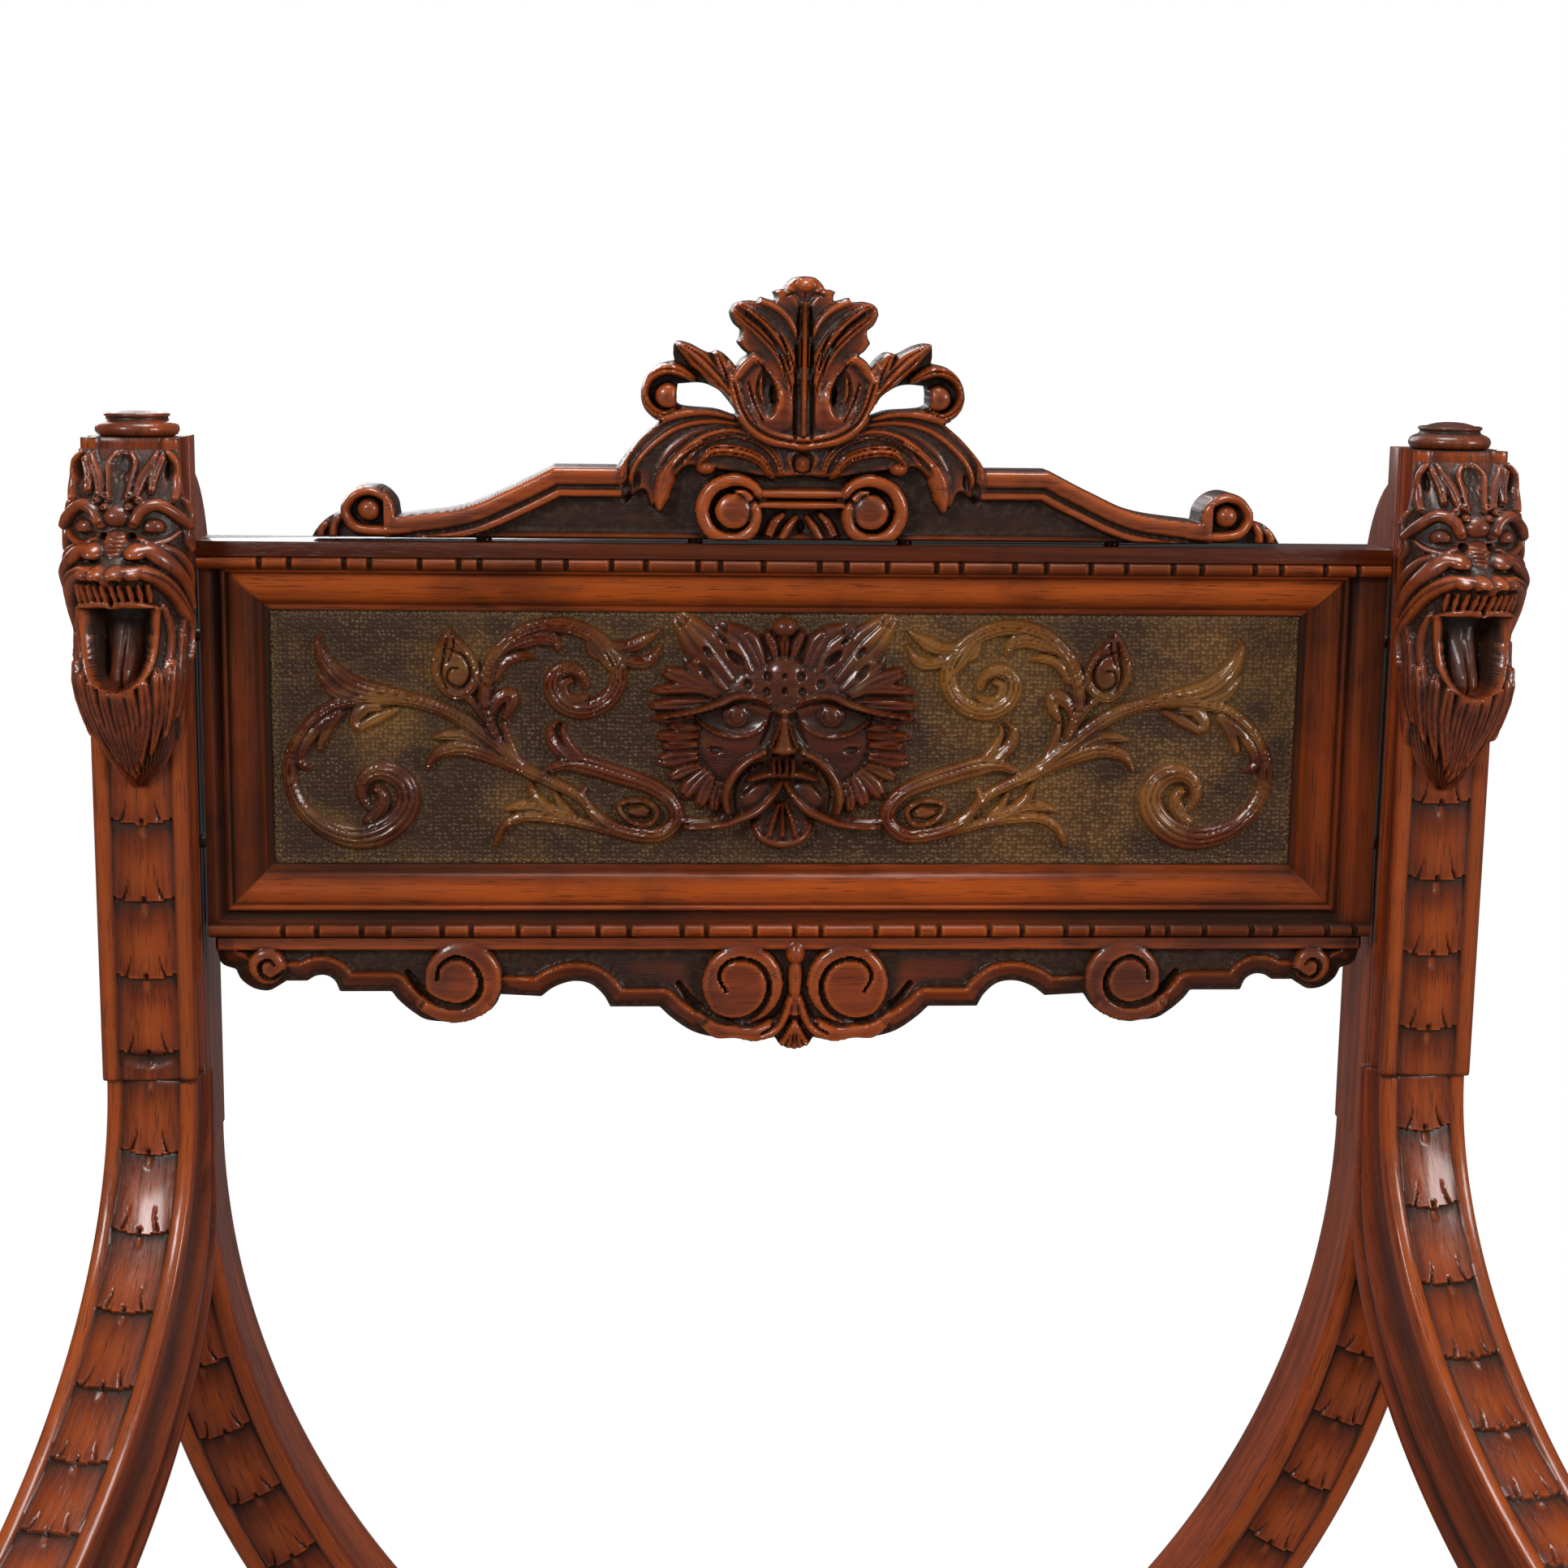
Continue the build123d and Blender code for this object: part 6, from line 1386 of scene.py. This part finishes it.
# ---------------------------------------------------------------- apron
# A scalloped board under the back. Its edge is chamfered, six volutes are cut in it, and a
# bud on a stem ends in a small fan at its lowest point.
APRON_HALF = 262.4
APRON_STEP = 0.8
apron_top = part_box("lower_bead")[1].z / MM - 6.0
apron_half = np.concatenate([
    smooth_line([(262, 0.5), (262, 9), (260, 14.5), (254, 17)])[:-1],
    smooth_line([(254, 17), (251.5, 22), (246, 26), (239.5, 27), (234.5, 24.5), (231.5, 22.5)])[:-1],
    smooth_line([(231.5, 22.5), (222, 22.5)], 1)[:-1],
    smooth_line([(222, 22.5), (218, 20.2), (213.5, 20.0), (209.6, 22.5), (207.4, 27.5)])[:-1],
    smooth_line([(207.4, 27.5), (184, 27.5)], 1)[:-1],
    smooth_line([(184, 27.5), (180.5, 32.0), (174.0, 37.6), (167.0, 41.2), (153.0, 41.6), (143.0, 38.0),
                 (137.0, 33.5), (134.5, 29)])[:-1],
    smooth_line([(134.5, 29), (116, 30)], 1)[:-1],
    smooth_line([(116, 30), (110.0, 25.6), (102.0, 23.0), (94.0, 24.0), (88.0, 29.0), (84.5, 35)])[:-1],
    smooth_line([(84.5, 35), (62, 35)], 1)[:-1],
    smooth_line([(62, 35), (56.0, 40.6), (47.0, 46.6), (37.0, 49.4), (27.0, 49.2), (18.0, 51.0),
                 (12.0, 50.4), (9.0, 49.6)])[:-1],
    smooth_line([(9, 49.6), (6.6, 52.6), (3.6, 54.4), (0, 54.6)]),
]) * (1, -1) + (0, apron_top)
apron = Carving(APRON_HALF, apron_half[:, 1].min() - 0.5, apron_top, APRON_STEP)
apron_edge = to_edge(apron.x, apron.z, [mirrored(apron_half)])
lower_edge = apron_half[4:]
up, _, _ = to_edge(apron.x, apron.z, [np.concatenate([lower_edge, lower_edge[::-1] - (0, 0.01)])])
chamfer = np.interp(np.abs(up), [0, 7.8, 8.4, 9.0, 9.8], [-0.4, 3.6, 4.0, 2.8, 0.0])
top_band = np.interp(apron_top - apron.z, [0.6, 1.2, 6.2, 7.2, 8.0], [1.5, 5.0, 5.2, 4.0, 0.0])
apron.height = np.maximum(chamfer, top_band)
# Painted shade on the low ground and along the chamfer.
apron.gloom = 0.34 * (apron.height < 1.2) + 0.3 * (np.abs(up) < 8)
for middle, size in (((24.1, 831.7), 18.6), ((151.2, 833.9), 17.6), ((239.4, 840.5), 8.4)):
    apron.mound(middle, (size, size), 7.4, power=0.12)
apron.ridge([(40.0, 815.4), (32.0, 809.0), (20.0, 807.4), (10.0, 812.0)],
            [5.4, 5.2, 4.4, 3.0], 7.0, sharp=0.25)
apron.ridge([(170.0, 822.6), (160.0, 818.6), (149.0, 817.6), (139.0, 823.0)],
            [3.6, 4.6, 4.4, 3.6], 7.0, sharp=0.25)
for line, widths, depth in (
    ([(162.9, 834.2), (161.7, 840.5), (155.2, 844.7), (147.7, 842.2), (143.3, 834.3), (145.1, 826.4),
      (152.5, 822.0), (162.2, 823.4), (170.5, 828.6),
      (176.7, 836.1)], [0.6, 1.0, 1.2, 1.5, 1.8, 2.0, 1.9, 1.6], 4.0),
    ([(31.5, 828.4), (34.9, 835.3), (32.0, 841.6), (24.6, 843.8), (16.3, 840.7), (12.1, 832.6),
      (13.7, 823.3), (20.0, 816.6), (29.2, 814.1), (38.9, 816.9), (47.2, 822.9), (53.2, 830.7)],
     [0.6, 1.0, 1.2, 1.4, 1.6, 1.9, 2.1, 1.9, 1.5], 4.0),
    ([(236.0, 841.6), (238.6, 843.6), (242.2, 841.6), (241.8, 837.0), (237.4, 834.6), (232.0, 838.0)],
     [0.5, 0.9, 1.1, 1.2, 1.2, 0.9], 3.6),
):
    apron.groove(line, widths, depth)
apron.ridge([(-1.5, 842.0), (0, 838.0), (0, 828.0), (0, 816.0)], [3.2, 3.4, 2.6, 3.4], 6.4, sharp=0.4)
apron.mound((0, 846.6), (5.2, 7.4), 8.0, power=0.7)
apron.ridge([(1.5, 826.0), (4.7, 816.6), (9.4, 809.6), (16.0, 806.6)], [1.6, 2.6, 2.8, 2.4], 7.4)
apron.groove([(4.4, 822.0), (8.6, 813.0), (15.0, 808.8)], [0.5, 0.8, 0.5], 3.0)
for lean in (0.0, 2.6, 5.4):
    apron.ridge([(0.1 * lean, 814.6), (0.6 * lean, 807.6), (1.1 * lean, 801.0 + 0.35 * lean)],
                [0.5, 1.4, 1.7], 7.2)
apron.height *= np.where(apron_edge[0] < 1.0, np.clip(apron_edge[0], 0.2, 1) ** 0.4, 1)
sawn_board(apron, APRON_HALF, apron_edge, "volute_apron", "apron")

# ---------------------------------------------------------------- beast heads
# Each head is carved in one with the board of its post and turned a little outward: ears and a
# fluted brow above, deep eyes, a wrinkled snout, an open mouth with its tongue, and a beard.
HEAD_ARC = 34.0
HEAD_TURN = 0.16
HEAD_PROUD = 37.5
HEAD_STEP = 0.55
head_foot, head_crown = 927.0, post_top - 4.5
HEAD_HEIGHTS = (927, 933, 940, 950, 960, 968, 976, 986, 996, 1006, 1014, 1022, 1030, 1038, 1046, 1054,
                1062, 1069, 1074)
HEAD_HALVES = (3.0, 8.5, 13.0, 17.0, 19.6, 21.0, 21.5, 21.0, 21.0, 21.8, 23.0, 24.4, 25.2, 25.4, 24.6,
               22.8, 21.4, 21.8, 21.0)
HEAD_REACH = (1.5, 5.0, 8.5, 13.5, 18.0, 22.0, 25.0, 23.0, 22.0, 23.0, 25.0, 25.5, 21.5, 17.5, 16.5, 14.5,
              11.0, 8.0, 4.0)


def head_place(half, height):
    """Where a point of the face, so far from its middle, lies round the head."""
    width = np.interp(height, HEAD_HEIGHTS, HEAD_HALVES)
    return HEAD_ARC * 2 / pi * np.arcsin(np.clip(half / width, -1, 1)), height


def on_head(points):
    """A line of points of the face, laid round the head."""
    return [head_place(*point) for point in points]


head = Carving(HEAD_ARC, head_foot, head_crown, HEAD_STEP)
grooved = 0.55 * np.cos(2 * pi * head.x / 2.6 + 1.6 * np.sin(head.z / 9.0))
head.height += grooved * np.clip((968 - head.z) / 10, 0, 1)
for points, widths, rise, flutes in [
    # beard, from the middle outward
    ([(0.6, 974), (0.9, 955), (0.3, 932)], [2.0, 3.4, 3.0, 1.4], 3.6, 1),
    ([(5.0, 975), (4.6, 955), (1.4, 934)], [2.2, 3.2, 3.2, 1.6], 3.8, 1),
    ([(9.8, 977), (8.6, 958), (3.4, 938)], [2.2, 3.4, 3.2, 1.6], 4.2, 1),
    ([(14.4, 980), (13.0, 962), (8.0, 943)], [2.2, 3.6, 3.2, 1.4], 4.2, 1),
    ([(18.0, 985), (17.4, 970), (13.0, 950)], [2.4, 4.2, 3.6, 1.2], 4.6, 2),
    ([(20.2, 996), (20.2, 980), (17.0, 958)], [2.0, 3.4, 3.6, 1.2], 4.0, 1),
    # strands down the cheeks
    ([(23.4, 1014), (21.0, 1000), (20.7, 984), (19.4, 962), (16.6, 947)],
     [1.6, 2.6, 2.8, 2.6, 1.0], 3.6, 1),
    ([(24.6, 1018), (21.8, 1003), (21.4, 986), (20.8, 968), (18.4, 950)],
     [1.4, 2.4, 2.6, 2.4, 1.0], 3.0, 0),
    ([(17.0, 1008), (18.4, 996), (17.8, 983), (14.0, 975)], [1.4, 2.2, 2.4, 1.4], 2.6, 0),
    # moustache roll and the fold above it
    ([(4.8, 1022.6), (11.0, 1023.6), (17.4, 1019.0), (20.6, 1010.0), (21.0, 996.0), (21.0, 982.0)],
     [2.6, 3.4, 3.0, 2.8, 2.4, 1.4], 5.4, 1),
    ([(8.6, 1031.4), (13.4, 1031.8), (18.6, 1027.0), (22.4, 1017.0), (22.0, 1004.0)],
     [3.0, 3.6, 3.0, 2.6, 1.6], 5.2, 0),
    ([(16.0, 1034.0), (21.4, 1030.0), (24.0, 1021.0), (22.6, 1010.0)], [1.4, 2.4, 2.2, 1.2], 3.4, 0),
    # eyes and brows
    ([(6.6, 1042.6), (9.6, 1048.6), (15.4, 1050.6), (21.4, 1046.0), (24.6, 1040.0)],
     [2.2, 2.8, 2.8, 2.8, 2.0], 4.8, 0),
    ([(22.8, 1052.0), (24.6, 1045.0), (24.4, 1037.0), (25.0, 1030.0)], [1.6, 2.6, 2.6, 1.4], 3.4, 1),
    ([(9.0, 1036.6), (14.0, 1034.4), (19.6, 1036.0), (22.6, 1039.6)], [0.9, 1.5, 1.5, 0.8], 2.6, 0),
    # ears and the ridges that run from them to the brow
    ([(7.0, 1053.6), (8.6, 1061.0), (11.6, 1067.0), (13.4, 1072.0)], [1.6, 2.6, 2.6, 1.4], 3.2, 1),
    ([(12.6, 1056.0), (13.4, 1064.0), (16.0, 1071.0)], [1.8, 3.0, 1.8], 3.4, 1),
    ([(20.0, 1052.0), (20.4, 1060.0), (19.6, 1069.0), (16.6, 1073.0)], [1.8, 3.2, 3.0, 1.2], 3.8, 0),
    ([(3.6, 1052.0), (4.6, 1060.0), (5.6, 1068.0), (2.8, 1072.6)], [0.9, 1.3, 1.3, 1.0], 2.2, 0),
]:
    head.ridge(on_head(points), widths, rise, flutes)
for place, radii, rise in (
    ((14.6, 1041.4), (4.2, 3.4), 2.6), ((0, 1046.0), (5.6, 4.6), 3.8), ((0, 1034.5), (5.0, 6.0), 2.4),
    ((4.6, 1054.6), (2.0, 2.0), 3.2), ((4.8, 1049.8), (1.9, 1.9), 4.4), ((8.6, 1052.4), (2.1, 2.1), 4.0),
    ((3.4, 1022.6), (3.9, 3.9), 6.4), ((8.8, 1031.4), (4.4, 4.0), 5.6), ((9.6, 1022.6), (4.0, 3.2), 5.8),
    ((0, 1021.0), (3.0, 4.0), 4.4),
):
    head.mound(head_place(*place), radii, rise, power=0.6)
# Hollows and holes, each darkened with its own amount of painted shade.
for place, radii, depth, gloom in (
    ((5.9, 1037.4), (1.7, 1.7), 4.5, 1.0), ((18.4, 1064.6), (2.6, 4.6), 3.2, 0.8),
    ((4.6, 1054.6), (0.7, 0.7), 1.2, 0.8), ((4.8, 1049.8), (0.7, 0.7), 1.2, 0.8),
    ((8.6, 1052.4), (0.8, 0.8), 1.2, 0.8), ((0, 1066.5), (4.0, 5.4), 2.6, 0.5),
    ((0, 1058.0), (2.6, 7.0), 1.6, 0.4), ((3.4, 1019.6), (1.7, 1.3), 2.2, 0.9),
    ((13.2, 1038.6), (4.6, 0.9), 1.0, 0.8), ((9.0, 1027.0), (5.0, 1.6), 1.6, 0.6),
    ((12.6, 1014.6), (3.8, 3.0), 1.6, 0.7),
):
    head.pit(head_place(*place), radii, depth, dark=gloom)
wrinkles = np.clip(1 - np.abs(head.x) / 5.5, 0, 1) * np.exp(-((head.z - 1033.5) / 4.2) ** 4)
head.height += 0.55 * wrinkles * np.cos(2 * pi * head.z / 1.7)
for place in (1.8, 4.4, 7.6, 10.6, 13.4):
    head.ridge(on_head([(place, 1018.0), (place, 1013.6), (place * 0.97, 1009.4)]), [0.7, 1.3, 0.8], 3.6)
head.ridge(on_head([(-0.8, 1007.6), (3.0, 1009.4), (9.0, 1009.0), (15.4, 1006.6)]), [1.5, 1.7, 1.8, 1.5],
           4.2, sharp=0.35)
head.pit((0, 1010.4), (0.9, 2.4), 2.4)

# The mouth: a deep hollow under the lip, its rim, and the tongue with a groove down it. The hollow
# gets painted shade, most under the upper lip and least on the tongue; the rim and the tongue get
# painted highlight with wear.
rim_half = np.interp(head.z, (971.5, 973.5, 976, 980, 985, 990, 996, 1004, 1008.2),
                     (0.0, 5.4, 8.2, 10.8, 12.8, 13.8, 14.4, 14.8, 14.8))
open_part = np.clip((rim_half - np.abs(head.x)) / 1.6, 0, 1) * np.clip((1007.4 - head.z) / 1.0, 0, 1)
rim_part = np.exp(-((np.abs(head.x) - rim_half - 1.4) / 1.7) ** 2) * (head.z < 1007.4) * (head.z > 970.0)
rim_part = np.maximum(rim_part, np.exp(-((head.z - 970.6) / 1.8) ** 2) * (np.abs(head.x) < 6.0))
head.height = np.where(rim_part > 0.12, np.maximum(head.height, 3.4 * rim_part), head.height)
tongue = np.clip(1 - (head.x / 8.6) ** 2, 0, 1) ** 0.5 * np.clip((1002 - head.z) / 22.0, 0, 1)
tongue = tongue * (1 - 0.35 * np.exp(-(head.x / 0.9) ** 2))
hollow = -13.5 + 8.0 * tongue
head.height = head.height * (1 - open_part) + hollow * open_part
head_dark, head_worn_and_lit = head.shading()
head_dark = np.clip(head_dark * (1 - 0.8 * rim_part), 0, 1)
mouth_dark = np.clip(0.62 - 0.42 * tongue + 0.25 * (head.z > 998), 0, 1)
head_dark = np.where(open_part > 0.02, mouth_dark, head_dark)
head_worn_and_lit = np.where(open_part > 0.02, 0.3 * tongue, np.maximum(head_worn_and_lit, 0.9 * rim_part))

spots, height, head_dark, head_worn_and_lit = head.whole(-HEAD_ARC, HEAD_ARC, head.height, head_dark, head_worn_and_lit)
turn, level_z = np.meshgrid(spots / HEAD_ARC * pi / 2, head.z[::-1, 0])
height, head_dark, head_worn_and_lit = height[::-1], head_dark[::-1], head_worn_and_lit[::-1]
half = np.interp(level_z, HEAD_HEIGHTS, HEAD_HALVES)
reach = np.interp(level_z, HEAD_HEIGHTS, HEAD_REACH)
snout = 7.0 * np.exp(-((level_z - 1021.0) / 7.5) ** 2) * np.exp(-(turn / 0.62) ** 2)
normal_x, normal_y = reach * np.sin(turn), half * np.cos(turn)
length = np.hypot(normal_x, normal_y)
skin, deep = np.maximum(height, -3.0), np.minimum(height + 3.0, 0)
local_x = half * np.sin(turn) + skin * normal_x / length
local_y = reach * np.cos(turn) + snout + skin * normal_y / length + deep
local_y = np.maximum(local_y, -0.5)
rear_x = np.linspace(1, -1, 5)[None, 1:-1] * half[:, :1]
for side, flip in (("right", 1), ("left", -1)):
    across = np.hstack([local_x, rear_x])
    forward = np.hstack([local_y, np.full(rear_x.shape, -1.5)])
    place_x = flip * post_x + across + flip * HEAD_TURN * np.maximum(forward, 0)
    place_z = np.hstack([level_z, level_z[:, : rear_x.shape[1]]])
    points = np.stack([place_x, post_front - forward, place_z], -1)
    points[..., 1] = np.maximum(points[..., 1], post_front - HEAD_PROUD)
    plain = np.zeros(rear_x.shape)
    dark, worn_and_lit = np.hstack([head_dark, plain + 0.4]), np.hstack([head_worn_and_lit, plain])
    carved = wrapped(f"{side}_beast_head", points, points, dark, worn_and_lit)
    finish_piece(carved, carved.name, "frame", "carved_walnut", carved_walnut, f"{side}_head_post")

# ---------------------------------------------------------------- pegs of the back
# Four short steel pegs let into the posts. The back stands on them with slots that are open
# below, so it lifts off. The plain solid is kept and gets a dull finish.
steel, shade, output = new_material("dull_steel")
place = shade.node("ShaderNodeTexCoord", out="Object")
marks = shade.node("ShaderNodeTexNoise", {}, {"Vector": place, "Scale": 900.0, "Detail": 3.0})
dull = {"Base Color": marks.mix((0.20, 0.19, 0.18), (0.42, 0.41, 0.39)), "Metallic": 1.0,
        "Roughness": 0.3 + marks * 0.3}
shade.feed(output.inputs["Surface"], shade.node("ShaderNodeBsdfPrincipled", {}, dull))
pins = frame["nodes"]["back_pins"]
pins.data.materials.clear()
pins.data.materials.append(steel)

size = {"cad": cad_bounds, "visual": [list(corner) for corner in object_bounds()]}
